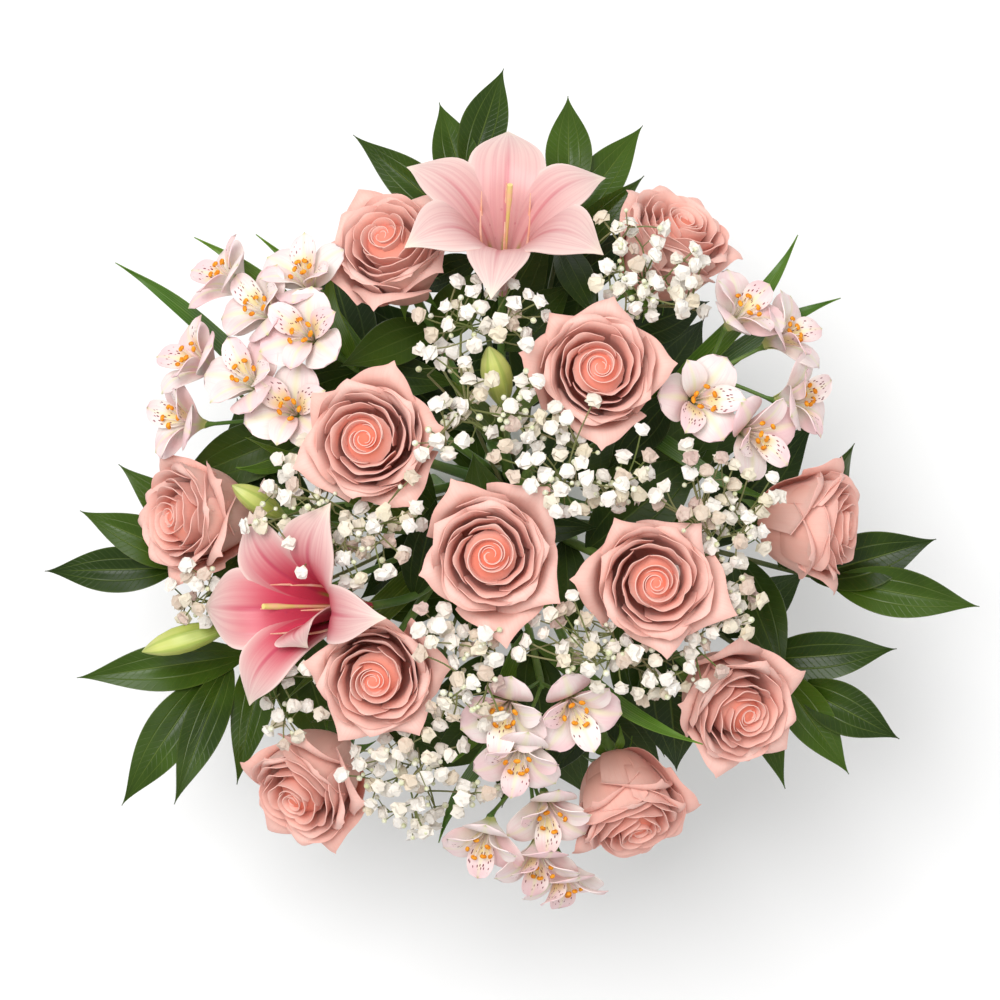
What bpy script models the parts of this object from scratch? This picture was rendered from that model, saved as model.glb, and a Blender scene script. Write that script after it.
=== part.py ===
"""Hand-tied bouquet of roses, lilies, alstroemeria and baby's breath, standing on its cut stems.

Lengths are millimetres up to make_object, which turns them into metres. +Z is up.
Seen from above with +Y at the top, +X is on the right.
"""

import math
import random

import bmesh
import bpy
import numpy as np
from mathutils import Matrix, Vector
from mathutils.kdtree import KDTree

MM = 0.001
WAIST = 150.0  # height of the tie
SPIN = 0.02  # twist of the stems, radians per millimetre of height
STRAIGHT_TO = 178.0  # the stems run straight up to here, then bend towards their flowers
GAP = 0.3  # left between two parts that touch

ROSE_TALL = 52.0  # base of a rose to its heart
PETAL = 0.9  # thickness of rose petals
TEPAL = 1.0  # thickness of lily petals
LEAF = 0.8  # thickness of leaves
INNER_LEAVES = 20  # leaves inside the bunch
# Larger leaves below the heads: place on the stem, tip, half width, arch.
LOW_LEAVES = {
    ("rose", "b"): (
        (0.667, (116, 28, 242), 20.0, 8),
    ),
    ("rose", "e"): (
        (0.869, (-88, 73, 275), 13.0, 8),
        (0.459, (-97, 124, 182), 24, 8),
        (0.695, (25, 80, 182), 13.9, 12),
    ),
    ("rose", "f"): (
        (0.888, (119, 113, 218), 13.6, 8),
    ),
    ("rose", "g"): (
        (0.694, (134, 60, 195), 20.3, 8),
    ),
    ("rose", "h"): (
        (0.875, (101, -155, 210), 19.7, 12),
        (0.724, (96, -150, 177), 17.5, 5),
    ),
    ("rose", "i"): (
        (0.866, (95, -159, 195), 14.2, 5),
        (0.895, (24, -157, 243), 11.4, 5),
    ),
    ("rose", "j"): (
        (0.871, (-10, -155, 174), 15.9, 5),
    ),
    ("alstroemeria", "a"): (
        (0.731, (-107, 87, 185), 16.4, 8),
        (0.276, (-45, 95, 172), 16.3, 12),
        (0.897, (-185, 9, 227), 16.2, 12),
    ),
    ("alstroemeria", "b"): (
        (0.805, (-100, 145, 186), 16.4, 8),
    ),
    ("alstroemeria", "c"): (
        (0.746, (119, 106, 183), 18.6, 5),
        (0.887, (60, 17, 246), 12.4, 5),
        (0.45, (157, 42, 167), 24, 5),
    ),
    ("alstroemeria", "d"): (
        (0.885, (25, -141, 248), 15.4, 8),
    ),
    ("alstroemeria", "e"): (
        (0.83, (-44, -156, 204), 14.7, 5),
        (0.709, (52, -175, 168), 20.4, 8),
    ),
    ("branch", "a"): (
        (0.621, (29, 154, 247), 15.2, 8),
        (0.811, (-50, 118, 217), 9.8, 12),
    ),
    ("branch", "b"): (
        (0.464, (49, 165, 200), 24, 8),
        (0.756, (79, 154, 219), 13.3, 8),
        (0.897, (53, 97, 283), 9.6, 12),
    ),
    ("branch", "c"): (
        (0.789, (-152, 59, 194), 18.9, 8),
        (0.797, (-168, -56, 221), 10.4, 8),
    ),
    ("branch", "d"): (
        (0.768, (-94, -150, 197), 21.1, 12),
        (0.295, (-79, -56, 230), 14.1, 12),
    ),
    ("branch", "e"): (
        (0.769, (159, -103, 246), 15.6, 12),
        (0.68, (183, 46, 187), 20.8, 5),
    ),
    ("branch", "f"): (
        (0.802, (177, -41, 189), 13.5, 5),
    ),
}

# name: heart x, y, z; lean angle; direction of the lean; outer petals as (direction, reach)
ROSES = {
    "a": ((-5, -29, 373), 0, 90, ((117, 40), (50, 43), (-34, 38), (-80, 43), (195, 34))),
    "b": ((81, -43, 360), 5, -25, ((178, 40), (122, 34), (-22, 42), (-80, 36), (50, 34))),
    "c": ((-71, 32, 362), 10, 160, ((70, 39), (8, 37), (-55, 40), (200, 38), (140, 34))),
    "d": ((52, 69, 358), 7, 60, ((78, 35), (5, 37), (-88, 38), (168, 38), (130, 34))),
    "e": ((-63, 143, 306), 33, 118, ((90, 38), (20, 34), (160, 38), (235, 36), (300, 32))),
    "f": ((101, 152, 292), 52, 60, ((90, 36), (15, 34), (160, 34), (235, 34), (305, 34))),
    "g": ((192, -14, 276), 68, -4, ((90, 37), (20, 36), (160, 36), (230, 34), (300, 34))),
    "h": ((134, -117, 306), 33, -40, ((90, 37), (25, 36), (155, 38), (225, 40), (300, 34))),
    "i": ((77, -184, 272), 57, -70, ((90, 38), (20, 36), (160, 36), (235, 32), (300, 32))),
    "j": ((-114, -167, 272), 45, 228, ((90, 40), (25, 36), (150, 37), (225, 36), (300, 36))),
    "k": ((-66, -95, 346), 12, 245, ((10, 37), (95, 32), (170, 34), (240, 36), (305, 34))),
    "l": ((-181, -10, 285), 47, 183, ((90, 36), (20, 36), (160, 36), (235, 34), (300, 34))),
}

# name: heart x, y, z; lean angle; direction; petals as (direction, reach, width)
LILIES = {
    "a": (
        (2, 129, 297), 40, 88,
        ((90, 62, 19), (150, 62, 16), (210, 60, 19), (265, 66, 15), (330, 60, 19), (28, 60, 16)),
    ),
    "b": (
        (-87, -58, 302), 40, 180,
        ((90, 64, 20), (150, 60, 15), (206, 22, 14), (268, 70, 14), (332, 64, 19), (30, 60, 16)),
    ),
}


def turn_of(degrees):
    return math.radians(degrees)


def unit(v):
    v = np.asarray(v, float)
    return v / np.linalg.norm(v)


def bezier(points, t):
    """Point of a cubic curve at t."""
    a, b, c, d = points
    s = 1 - t
    w = (s * s * s, 3 * s * s * t, 3 * s * t * t, t * t * t)
    return tuple(w[0] * p + w[1] * q + w[2] * r + w[3] * o for p, q, r, o in zip(a, b, c, d))


class Seat:
    """Where a flower sits: its base, its axis, and two directions across it."""

    def __init__(self, base, axis):
        self.base = np.asarray(base, float)
        self.z = unit(axis)
        flat = math.hypot(self.z[0], self.z[1])
        if flat < 0.02:
            self.x = np.array([1.0, 0.0, 0.0])
            self.x = unit(self.x - self.z * self.x.dot(self.z))
        else:
            self.x = unit(np.cross(self.z, (0, 0, 1)))
        self.y = np.cross(self.z, self.x)

    def out(self, x, y, z):
        return self.base + self.x * x + self.y * y + self.z * z


def leaning(lean, direction):
    a, d = turn_of(lean), turn_of(direction)
    return np.array([math.sin(a) * math.cos(d), math.sin(a) * math.sin(d), math.cos(a)])


def zipper(low, high):
    """Triangles between two rows of (index, place across)."""
    found = []
    i = j = 0
    while i < len(low) - 1 or j < len(high) - 1:
        if j == len(high) - 1:
            first = True
        elif i == len(low) - 1:
            first = False
        else:
            first = low[i][1] + low[i + 1][1] <= high[j][1] + high[j + 1][1]
        if first:
            found.append((low[i][0], low[i + 1][0], high[j][0]))
            i += 1
        else:
            found.append((low[i][0], high[j + 1][0], high[j][0]))
            j += 1
    return found


def volume(points, faces):
    p = np.asarray(points)
    f = np.asarray(faces)
    a, b, c = p[f[:, 0]], p[f[:, 1]], p[f[:, 2]]
    return np.einsum("ij,ij->i", a, np.cross(b, c)).sum() / 6


def thicken(points, faces, rim, thick):
    """A closed sheet of even thickness. Both faces are split alike."""
    points = np.array(points, float)
    count = len(points)
    normals = np.zeros_like(points)
    for a, b, c in faces:
        n = np.cross(points[b] - points[a], points[c] - points[a])
        for k in (a, b, c):
            normals[k] += n
    normals /= np.linalg.norm(normals, axis=1)[:, None]
    both = np.vstack([points + normals * thick / 2, points - normals * thick / 2])
    solid = list(faces)
    solid += [(c + count, b + count, a + count) for a, b, c in faces]
    for a, b in zip(rim, rim[1:] + rim[:1]):
        solid += [(b, a, a + count), (b, a + count, b + count)]
    if volume(both, solid) < 0:
        solid = [(c, b, a) for a, b, c in solid]
    return both, solid


def blade(surface, rows, thick):
    """A leaf or petal on surface(u, v), from rows of (v, places across)."""
    points = []
    numbered = []
    for v, us in rows:
        row = []
        for u in us:
            row.append((len(points), u))
            points.append(surface(u, v))
        numbered.append(row)
    faces = []
    for low, high in zip(numbered, numbered[1:]):
        faces += zipper(low, high)
    rim = [k for k, _ in numbered[0]]
    rim += [row[-1][0] for row in numbered[1:-1]]
    rim += [k for k, _ in reversed(numbered[-1])]
    rim += [row[0][0] for row in reversed(numbered[1:-1])]
    return thicken(points, faces, rim, thick)


def whorl(seat, petals, notch, rows, thick, inside, outside):
    """Petals that grow together below their notches, as one closed sheet.

    petals holds (direction, surface); rows holds (v, places across) above the notches.
    inside and outside are the heights of the cup's bottom, which is solid between them.
    """
    petals = sorted(petals, key=lambda p: p[0] % (2 * math.pi))
    count = len(petals)

    def reach(k, side, v, u):
        """The place across, drawn in to stay on this petal's side of the notch."""
        other = petals[(k + side) % count][0]
        room = ((other - petals[k][0]) * side) % (2 * math.pi) / 2 - 0.03
        while u > 0.1:
            x, y, _ = petals[k][1](side * u, v)
            away = side * (math.atan2(y, x) - petals[k][0])
            away = (away + math.pi) % (2 * math.pi) - math.pi
            if away < room:
                break
            u -= 0.04
        return side * u

    points = [seat.out(0, 0, inside)]
    faces = []
    rim = []
    base = []
    for k in range(count):
        left = np.array(petals[k - 1][1](reach(k - 1, 1, notch, 1.0), notch))
        right = np.array(petals[k][1](reach(k, -1, notch, 1.0), notch))
        base.append((len(points), len(points) + 1))
        points.append(seat.out(*((left + right) / 2)))
        points.append(seat.out(*petals[k][1](0, notch)))
    for k in range(count):
        start, middle = base[k]
        end = base[(k + 1) % count][0]
        faces += [(0, middle, start), (0, end, middle)]
        low = [(start, -1), (middle, 0), (end, 1)]
        lefts = [start]
        rights = []
        for v, us in rows:
            high = []
            for u in us:
                place = reach(k, 1, v, u) if u > 0 else reach(k, -1, v, -u) if u < 0 else 0
                high.append((len(points), u))
                points.append(seat.out(*petals[k][1](place, v)))
            faces += zipper(low, high)
            low = high
            lefts.append(high[0][0])
            rights.insert(0, high[-1][0])
        last = [n for n, _ in low]
        rim += lefts + last[1:] + rights[1:]
    return solid_bottom(seat, thicken(points, faces, rim[::-1], thick), outside)


def solid_bottom(seat, sheet, outside):
    """Moves the outer middle of a cup down its axis."""
    both, solid = sheet
    low = min((0, len(both) // 2), key=lambda n: (both[n] - seat.base).dot(seat.z))
    both[low] = seat.out(0, 0, outside)
    return both, solid


def rings(centres, axes, radii, sides, level=None):
    """A closed tube through rings of points. A radius of 0 closes to a point."""
    points = []
    bands = []
    across = None
    for k, (c, w, r) in enumerate(zip(centres, axes, radii)):
        w = unit(w)
        if across is None:
            across = np.cross(w, (0, 0, 1) if abs(w[2]) < 0.9 else (0, 1, 0))
        across = unit(across - w * across.dot(w))
        other = np.cross(w, across)
        if r == 0:
            bands.append([len(points)])
            points.append(np.asarray(c, float))
            continue
        band = []
        for s in range(sides):
            a = 2 * math.pi * s / sides
            p = c + r * (across * math.cos(a) + other * math.sin(a))
            if k == 0 and level is not None:
                p = p - w * (p[2] - level) / w[2]
            band.append(len(points))
            points.append(p)
        bands.append(band)
    faces = []
    for low, high in zip(bands, bands[1:]):
        n = max(len(low), len(high))
        for s in range(n):
            t = (s + 1) % n
            if len(high) == 1:
                faces.append((low[s], low[t], high[0]))
            elif len(low) == 1:
                faces.append((low[0], high[t], high[s]))
            else:
                faces += [(low[s], low[t], high[t]), (low[s], high[t], high[s])]
    for band, turned in ((bands[0], True), (bands[-1], False)):
        for s in range(1, len(band) - 1):
            face = (band[0], band[s], band[s + 1])
            faces.append(face[::-1] if turned else face)
    points = np.array(points)
    if volume(points, faces) < 0:
        faces = [f[::-1] for f in faces]
    return points, faces


def turned(seat, profile, sides):
    """A round solid on a seat from (height, radius) pairs."""
    centres = [seat.out(0, 0, h) for h, _ in profile]
    return rings(centres, [seat.z] * len(profile), [r for _, r in profile], sides)


def tube(path, radii, sides, level=None):
    """A closed tube along a path of points."""
    path = [np.asarray(p, float) for p in path]
    axes = [path[1] - path[0]]
    for a, b, c in zip(path, path[1:], path[2:]):
        axes.append(unit(b - a) + unit(c - b))
    axes.append(path[-1] - path[-2])
    return rings(path, axes, radii, sides, level)


PAINTS = {
    "rose": ("Rose petals", (0.85, 0.42, 0.34), 0.55),
    "lily": ("Lily petals", (0.86, 0.55, 0.66), 0.5),
    "alstroemeria": ("Alstroemeria petals", (0.93, 0.84, 0.83), 0.5),
    "breath": ("White florets", (0.88, 0.88, 0.84), 0.7),
    "stem": ("Green stems", (0.17, 0.27, 0.08), 0.5),
    "leaf": ("Green leaves", (0.1, 0.2, 0.06), 0.45),
    "dark": ("Dark glossy leaves", (0.03, 0.09, 0.035), 0.3),
    "twine": ("Natural twine", (0.5, 0.36, 0.2), 0.85),
}


def paint(kind):
    name, colour, rough = PAINTS[kind]
    found = bpy.data.materials.get(name)
    if found:
        return found
    made = bpy.data.materials.new(name)
    made.use_nodes = True
    shader = made.node_tree.nodes["Principled BSDF"]
    shader.inputs["Base Color"].default_value = (*colour, 1)
    shader.inputs["Roughness"].default_value = rough
    made.diffuse_color = (*colour, 1)
    return made


def mesh_object(name, points, faces):
    mesh = bpy.data.meshes.new(name)
    mesh.from_pydata([tuple(p * MM) for p in points], [], [tuple(f) for f in faces])
    mesh.validate()
    made = bpy.data.objects.new(name, mesh)
    bpy.context.scene.collection.objects.link(made)
    return made


def keep_largest(mesh):
    """Drops loose scraps and fills the hollows that joining has sealed."""
    work = bmesh.new()
    work.from_mesh(mesh)
    bmesh.ops.triangulate(work, faces=work.faces[:])
    left = set(work.verts)
    groups = []
    while left:
        queue = [left.pop()]
        group = set(queue)
        while queue:
            for edge in queue.pop().link_edges:
                for v in edge.verts:
                    if v in left:
                        left.discard(v)
                        group.add(v)
                        queue.append(v)
        size = 0.0
        for face in {f for v in group for f in v.link_faces}:
            a, b, c = (v.co for v in face.verts)
            size += a.dot(b.cross(c)) / 6
        groups.append((size, group))
    best = max(groups, key=lambda g: g[0])[1]
    bmesh.ops.delete(work, geom=[v for v in work.verts if v not in best], context="VERTS")
    work.to_mesh(mesh)
    work.free()


def make_object(name, kind, solids, solver="MANIFOLD"):
    """One object from closed solids, joined by one Boolean union."""
    first = mesh_object(name, *solids[0])
    if len(solids) > 1:
        group = bpy.data.collections.new(name + "_parts")
        bpy.context.scene.collection.children.link(group)
        for k, solid in enumerate(solids[1:]):
            other = mesh_object(f"{name}_{k}", *solid)
            bpy.context.scene.collection.objects.unlink(other)
            group.objects.link(other)
        joined = first.modifiers.new("Join", "BOOLEAN")
        joined.operation = "UNION"
        joined.operand_type = "COLLECTION"
        joined.collection = group
        joined.solver = solver
        bpy.context.view_layer.update()
        graph = bpy.context.evaluated_depsgraph_get()
        mesh = bpy.data.meshes.new_from_object(first.evaluated_get(graph))
        first.modifiers.clear()
        first.data = mesh
        for other in list(group.objects):
            bpy.data.objects.remove(other)
        bpy.data.collections.remove(group)
        keep_largest(first.data)
    first.data.name = name
    first.data.materials.clear()
    first.data.materials.append(paint(kind))
    return first


def strand(p, z):
    """Where a stem through the waist point p is at height z, while it is straight."""
    h = z - WAIST
    return np.array([p[0] - SPIN * p[1] * h, p[1] + SPIN * p[0] * h, z])


def pack_waist(wanted):
    """Waist points for stems of (radius, x, y), side by side without touching."""
    radii = np.array([r * 1.04 + 0.12 for r, _, _ in wanted])
    spots = np.array([(x, y) for _, x, y in wanted], float)
    for step in range(900):
        if step < 700:
            spots *= 0.994
        for _ in range(3):
            gap = spots[:, None] - spots[None]
            far = np.linalg.norm(gap, axis=2) + np.eye(len(spots)) * 1e3
            over = radii[:, None] + radii[None] - far
            over = np.where(over > 0, over, 0) * 0.5
            spots += ((gap / far[:, :, None]) * over[:, :, None]).sum(axis=1)
    return spots


def stem_path(p, end, axis, bends=4, reach=0.55):
    """From the cut end through the tie, then bending into a flower's axis."""
    start = strand(p, STRAIGHT_TO)
    way = unit(start - strand(p, 0.0))
    end = np.asarray(end, float)
    long = np.linalg.norm(end - start)
    a, b = start + way * long * 0.4, end - unit(axis) * long * reach
    path = [strand(p, 0.0)]
    for k in range(bends + 1):
        path.append(np.array(bezier((start, a, b, end), k / bends)))
    return path


def rose_petal(turn, profile, half, spiral, curl, rounding, sharp):
    """Surface of one petal in the rose's own space. v runs from root to edge."""

    def at(u, v):
        t = v * (1 - rounding * abs(u) ** sharp)
        rho, z = bezier(profile, t)
        width = half * (0.25 + 0.75 * math.sin(min(1.0, t * 1.2) * math.pi / 2))
        roll = curl * abs(u) ** 3 * t
        a = turn + u * width / max(rho, 4.0)
        rho = rho + spiral * u * min(1.0, 2.5 * t) + roll
        return rho * math.cos(a), rho * math.sin(a), z - 0.7 * roll

    return at


ROSE_CORE = ((11, 4), (22, 12.5), (40, 12.5), (54, 5))


def rose_petals(key, outer):
    """The middle and the outer petals of one rose, each as (direction, surface)."""
    dice = random.Random("rose " + key)
    first = dice.uniform(0, 360)
    middle = []
    for k in range(4):
        reach = 25 + dice.uniform(-1, 1.5)
        profile = ((4, 12), (25, 8), (18.5, 53), (reach, 50 - 0.7 * k))
        turn = turn_of(first + 90 * k + dice.uniform(-6, 6))
        middle.append((turn, rose_petal(turn, profile, 19, 1.5, 2.0, 0.2, 1.7)))
    spread = []
    for k, (direction, reach) in enumerate(outer):
        drop = k * 1.0
        profile = ((4, 2), (0.82 * reach, -1.5), (0.66 * reach, 58 - drop), (reach, 42 - drop))
        turn = turn_of(direction)
        spread.append((turn, rose_petal(turn, profile, 22, 2.0, 4.0, 0.26, 1.5)))
    return middle, spread


def rose_seat(key):
    heart, lean, direction, _ = ROSES[key]
    axis = leaning(lean, direction)
    seat = Seat(np.array(heart, float) - axis * ROSE_TALL, axis)
    if lean < 15:
        # an upright rose counts its petals from +X
        x = np.array([1.0, 0, 0])
        seat.x = unit(x - axis * x.dot(axis))
        seat.y = np.cross(seat.z, seat.x)
    return seat


def make_rose(key):
    seat = rose_seat(key)
    middle, spread = rose_petals(key, ROSES[key][3])
    solids = [
        turned(seat, ROSE_CORE, 6),
        whorl(seat, middle, 0.5, ((1.0, (-0.8, 0, 0.8)),), PETAL, 15, 3),
        whorl(seat, spread, 0.42, ((0.8, (-1, 0, 1)), (1.0, (-0.72, 0, 0.72))), PETAL, 6, 0),
    ]
    return make_object(f"rose_{key}", "rose", solids)


def sepals(seat):
    """Calyx with five points that hang out below the petals."""
    points = []
    for height, wide, narrow, drop in ((-9.5, 3.9, 3.9, 0), (-4.5, 17, 4.6, 7), (-GAP, 4.6, 4.6, 0)):
        for k in range(10):
            a = turn_of(36 * k + 10)
            r, z = (narrow, height) if k % 2 else (wide, height - drop)
            points.append(seat.out(r * math.cos(a), r * math.sin(a), z))
    faces = []
    for low in (0, 10):
        for k in range(10):
            n = (k + 1) % 10
            faces += [(low + k, low + n, low + n + 10), (low + k, low + n + 10, low + k + 10)]
    for k in range(1, 9):
        faces += [(0, k + 1, k), (20, 20 + k, 21 + k)]
    points = np.array(points)
    if volume(points, faces) < 0:
        faces = [f[::-1] for f in faces]
    return points, faces


def make_rose_stem(key, path, leaves):
    solids = [tube(path, [3.0] * len(path), 5, 0.0), sepals(rose_seat(key))]
    add_inner(solids, path, leaves)
    return make_object(f"rose_{key}_stem", "stem", solids)


LILY_DEEP = 25.0  # base of a lily to the middle of its throat
LILY_ROWS = ((0.55, (-1, 0, 1)), (0.82, (-1, 0, 1)), (1.0, (0,)))


def lily_seat(key):
    heart, lean, direction, _ = LILIES[key]
    axis = leaning(lean, direction)
    return Seat(np.array(heart, float) - axis * LILY_DEEP, axis)


def lily_petal(turn, reach, half):
    """Surface of one lily petal, a gutter that opens and curls back at its tip."""
    profile = ((2.5, 0), (8, 40), (reach * 0.42, 84), (reach, 56 + 0.1 * reach))
    c, s = math.cos(turn), math.sin(turn)

    def at(u, v):
        rho, z = bezier(profile, v)
        near, low = bezier(profile, max(0.0, v - 0.02))
        slope = unit((rho - near, z - low)) if v > 0.02 else unit((0.1, 1))
        wide = half * (0.16 + 0.84 * math.sin(math.pi * min(1.0, v * 0.93) ** 1.15)) * (1 - v ** 8)
        lift = wide * abs(u) * (0.55 - 0.75 * v)
        rho, z = rho - slope[1] * lift, z + slope[0] * lift
        across = wide * u * (1 if v > 0.05 else 0.6)
        return rho * c - across * s, rho * s + across * c, z

    return at


def lily_threads():
    """Stamens and the style of a lily, as paths in its own space."""
    found = []
    for k in range(6):
        a = turn_of(60 * k + 30)
        foot = (3 * math.cos(a), 3 * math.sin(a), 9)
        found.append([foot, (15 * math.cos(a), 15 * math.sin(a) + 5, 64)])
    found.append([(0, 0, 4), (2, 8, 74)])
    return found


def make_lily(key):
    seat = lily_seat(key)
    petals = []
    for direction, reach, half in LILIES[key][3]:
        turn = turn_of(direction)
        petals.append((turn, lily_petal(turn, reach, half)))
    solids = [whorl(seat, petals, 0.3, LILY_ROWS, TEPAL, 9, 0)]
    for path in lily_threads():
        points = [seat.out(*p) for p in path]
        solids.append(tube(points, [0.8, 1.0], 3))
    return make_object(f"lily_{key}", "lily", solids)


# lily stem: buds as (base, tip, thickness) and leaves as (place on the stem, tip, half width, arch)
LILY_EXTRAS = {
    "a": (
        (((2, 50, 322), (-6, 80, 350), 8.5),),
        ((0.55, (66, 112, 318), 8, 14), (0.45, (-28, 66, 300), 7, 10)),
    ),
    "b": (
        (((-117, -10, 290), (-144, 8, 306), 7.0), ((-150, -70, 262), (-198, -84, 262), 8.0)),
        ((0.5, (-138, 34, 292), 9, 14), (0.4, (-120, -112, 262), 8, 14)),
    ),
}
BUD = ((0, 1.6), (0.16, 0.72), (0.5, 1.0), (0.82, 0.66), (1.0, 0.0))


def bud(base, tip, thick, sides=6):
    base, tip = np.asarray(base, float), np.asarray(tip, float)
    centres = [base + (tip - base) * t for t, _ in BUD]
    radii = [BUD[0][1]] + [r * thick for _, r in BUD[1:]]
    return rings(centres, [tip - base] * len(BUD), radii, sides)


def leaf_surface(base, tip, half, arch, fold=0.35, roll=0.0):
    """A pointed leaf from base to tip that bows up by arch."""
    base, tip = np.asarray(base, float), np.asarray(tip, float)
    way = tip - base
    side = unit(np.cross(way, (0, 0, 1)))
    up = unit(np.cross(side, way))
    c, s = math.cos(roll), math.sin(roll)
    side, up = side * c + up * s, up * c - side * s

    def at(u, v):
        centre = base + way * v + np.array([0, 0, 4 * arch * v * (1 - v)])
        wide = half * (0.12 + 0.88 * math.sin(math.pi * v ** 0.8)) * (1 - v ** 6)
        return centre + side * (wide * u) + up * (wide * fold * abs(u))

    return at


LEAF_ROWS = ((0.0, (-0.4, 0.4)), (0.3, (-1, 0, 1)), (0.65, (-1, 0, 1)), (1.0, (0,)))
INNER_ROWS = ((0.0, (-0.4, 0.4)), (0.45, (-1, 0, 1)), (1.0, (0,)))
SLIM_ROWS = ((0.0, (-0.4, 0.4)), (0.35, (-1, 1)), (0.7, (-1, 1)), (1.0, (0,)))


def make_lily_stem(key, path, inner):
    solids = [tube(path, [3.8] * 3 + [3.2] * 3 + [2.6, 2.8], 5, 0.0)]
    buds, leaves = LILY_EXTRAS[key]
    for base, tip, thick in buds:
        start = path[3]
        base = np.array(base, float)
        way = np.array(tip, float) - base
        mid = bezier((start, start + np.array([0, 0, 25.0]), base - unit(way) * 25, base), 0.5)
        solids.append(tube([start, np.array(mid), base + unit(way) * 1.5], [1.9, 1.6, 1.5], 4))
        solids.append(bud(base, tip, thick))
    for place, tip, half, arch in leaves:
        spot = place * (len(path) - 1)
        k = int(spot)
        base = path[k] + (path[k + 1] - path[k]) * (spot - k)
        solids.append(blade(leaf_surface(base, tip, half, arch), LEAF_ROWS, LEAF))
    add_inner(solids, path, inner)
    return make_object(f"lily_{key}_stem", "stem", solids)


# head: fork of the flower stalks, then the mouth of each flower; leaves as (place, tip, half width, arch)
ALSTROEMERIA = {
    "a": (
        (-125, 44, 258),
        ((-181, 44, 284), (-139, 68, 312), (-113, 50, 318), (-172, 80, 286)),
        ((0.86, (-214, 132, 252), 6.5, 10), (0.8, (-146, 18, 262), 5, 8)),
    ),
    "b": (
        (-104, 92, 264),
        ((-156, 126, 280), (-134, 106, 302), (-106, 90, 320), (-108, 126, 302)),
        ((0.78, (-170, 146, 254), 6, 12), (0.84, (-92, 128, 268), 5, 8), (0.7, (-136, 148, 250), 5, 8)),
    ),
    "c": (
        (110, 66, 262),
        ((134, 106, 304), (108, 54, 326), (142, 34, 312), (170, 56, 288), (162, 94, 286)),
        ((0.86, (164, 146, 268), 6, 12), (0.84, (189, 112, 256), 6, 8), (0.74, (150, 0, 290), 5, 10)),
    ),
    "d": (
        (22, -98, 272),
        ((2, -116, 334), (42, -114, 330), (10, -142, 322)),
        ((0.84, (108, -130, 318), 5, 12), (0.8, (-26, -142, 296), 5, 12)),
    ),
    "e": (
        (16, -146, 244),
        ((28, -176, 286), (-10, -192, 282), (22, -206, 272), (38, -220, 250)),
        ((0.84, (-34, -190, 258), 5, 12), (0.76, (58, -120, 256), 5, 6)),
    ),
}
MOUTH = 22.0  # base of a flower to its mouth


def alstroemeria_seat(fork, mouth):
    fork, mouth = np.asarray(fork, float), np.asarray(mouth, float)
    outward = np.array([mouth[0], mouth[1], 0.0]) * 0.004
    axis = unit(unit(mouth - fork) + np.array([0, 0, 0.5]) + outward)
    return Seat(mouth - axis * MOUTH, axis)


def alstroemeria_cup(seat, turn, size):
    """Six petals in one sheet, open like a funnel: three broad ones, three narrow."""
    points = [seat.out(0, 0, 0)]
    faces = []
    rim = []
    for k in range(6):
        broad = k % 2 == 0
        a = turn + turn_of(60 * k)
        places = [(-30, 8.5, 14)]
        places += [(-27, 19, 20.5), (27, 19, 20.5), (0, 26.5, 21.5)] if broad else [(0, 25, 26)]
        first = len(points)
        for da, rho, z in places:
            b = a + turn_of(da)
            points.append(seat.out(rho * math.cos(b) * size, rho * math.sin(b) * size, z * size))
        after = len(points) if k < 5 else 1
        faces.append((0, first, after))
        if broad:
            left, right, tip = first + 1, first + 2, first + 3
            faces += [(first, right, after), (first, left, right), (left, tip, right)]
            rim += [first, left, tip, right]
        else:
            faces.append((first, first + 1, after))
            rim += [first, first + 1]
    return solid_bottom(seat, thicken(points, faces, rim, 0.8), -4)


def make_alstroemeria(key):
    fork, mouths, _ = ALSTROEMERIA[key]
    fork = np.array(fork, float)
    dice = random.Random("alstroemeria " + key)
    knob = Seat(fork, (fork[0] * 0.004, fork[1] * 0.004, 1))
    solids = [turned(knob, ((0.8, 2.2), (3 + 2.6 * len(mouths), 1.6)), 4)]
    for k, mouth in enumerate(mouths):
        seat = alstroemeria_seat(fork, mouth)
        solids.append(alstroemeria_cup(seat, dice.uniform(0, 1), 0.95))
        start = knob.out(0, 0, 3 + 2.6 * k)
        solids.append(tube([start, seat.base - seat.z * 1.5], [0.9, 1.5], 3))
    return make_object(f"alstroemeria_{key}", "alstroemeria", solids)


def on_path(path, place):
    spot = place * (len(path) - 1)
    k = min(int(spot), len(path) - 2)
    return path[k] + (path[k + 1] - path[k]) * (spot - k)


def make_alstroemeria_stem(key, path, inner):
    leaves = ALSTROEMERIA[key][2]
    solids = [tube(path, [2.4] * len(path), 5, 0.0)]
    for place, tip, half, arch in leaves:
        base = on_path(path, place)
        solids.append(blade(leaf_surface(base, tip, half, arch, 0.2, 0.3), SLIM_ROWS, LEAF))
    add_inner(solids, path, inner)
    return make_object(f"alstroemeria_{key}_stem", "stem", solids)


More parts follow.
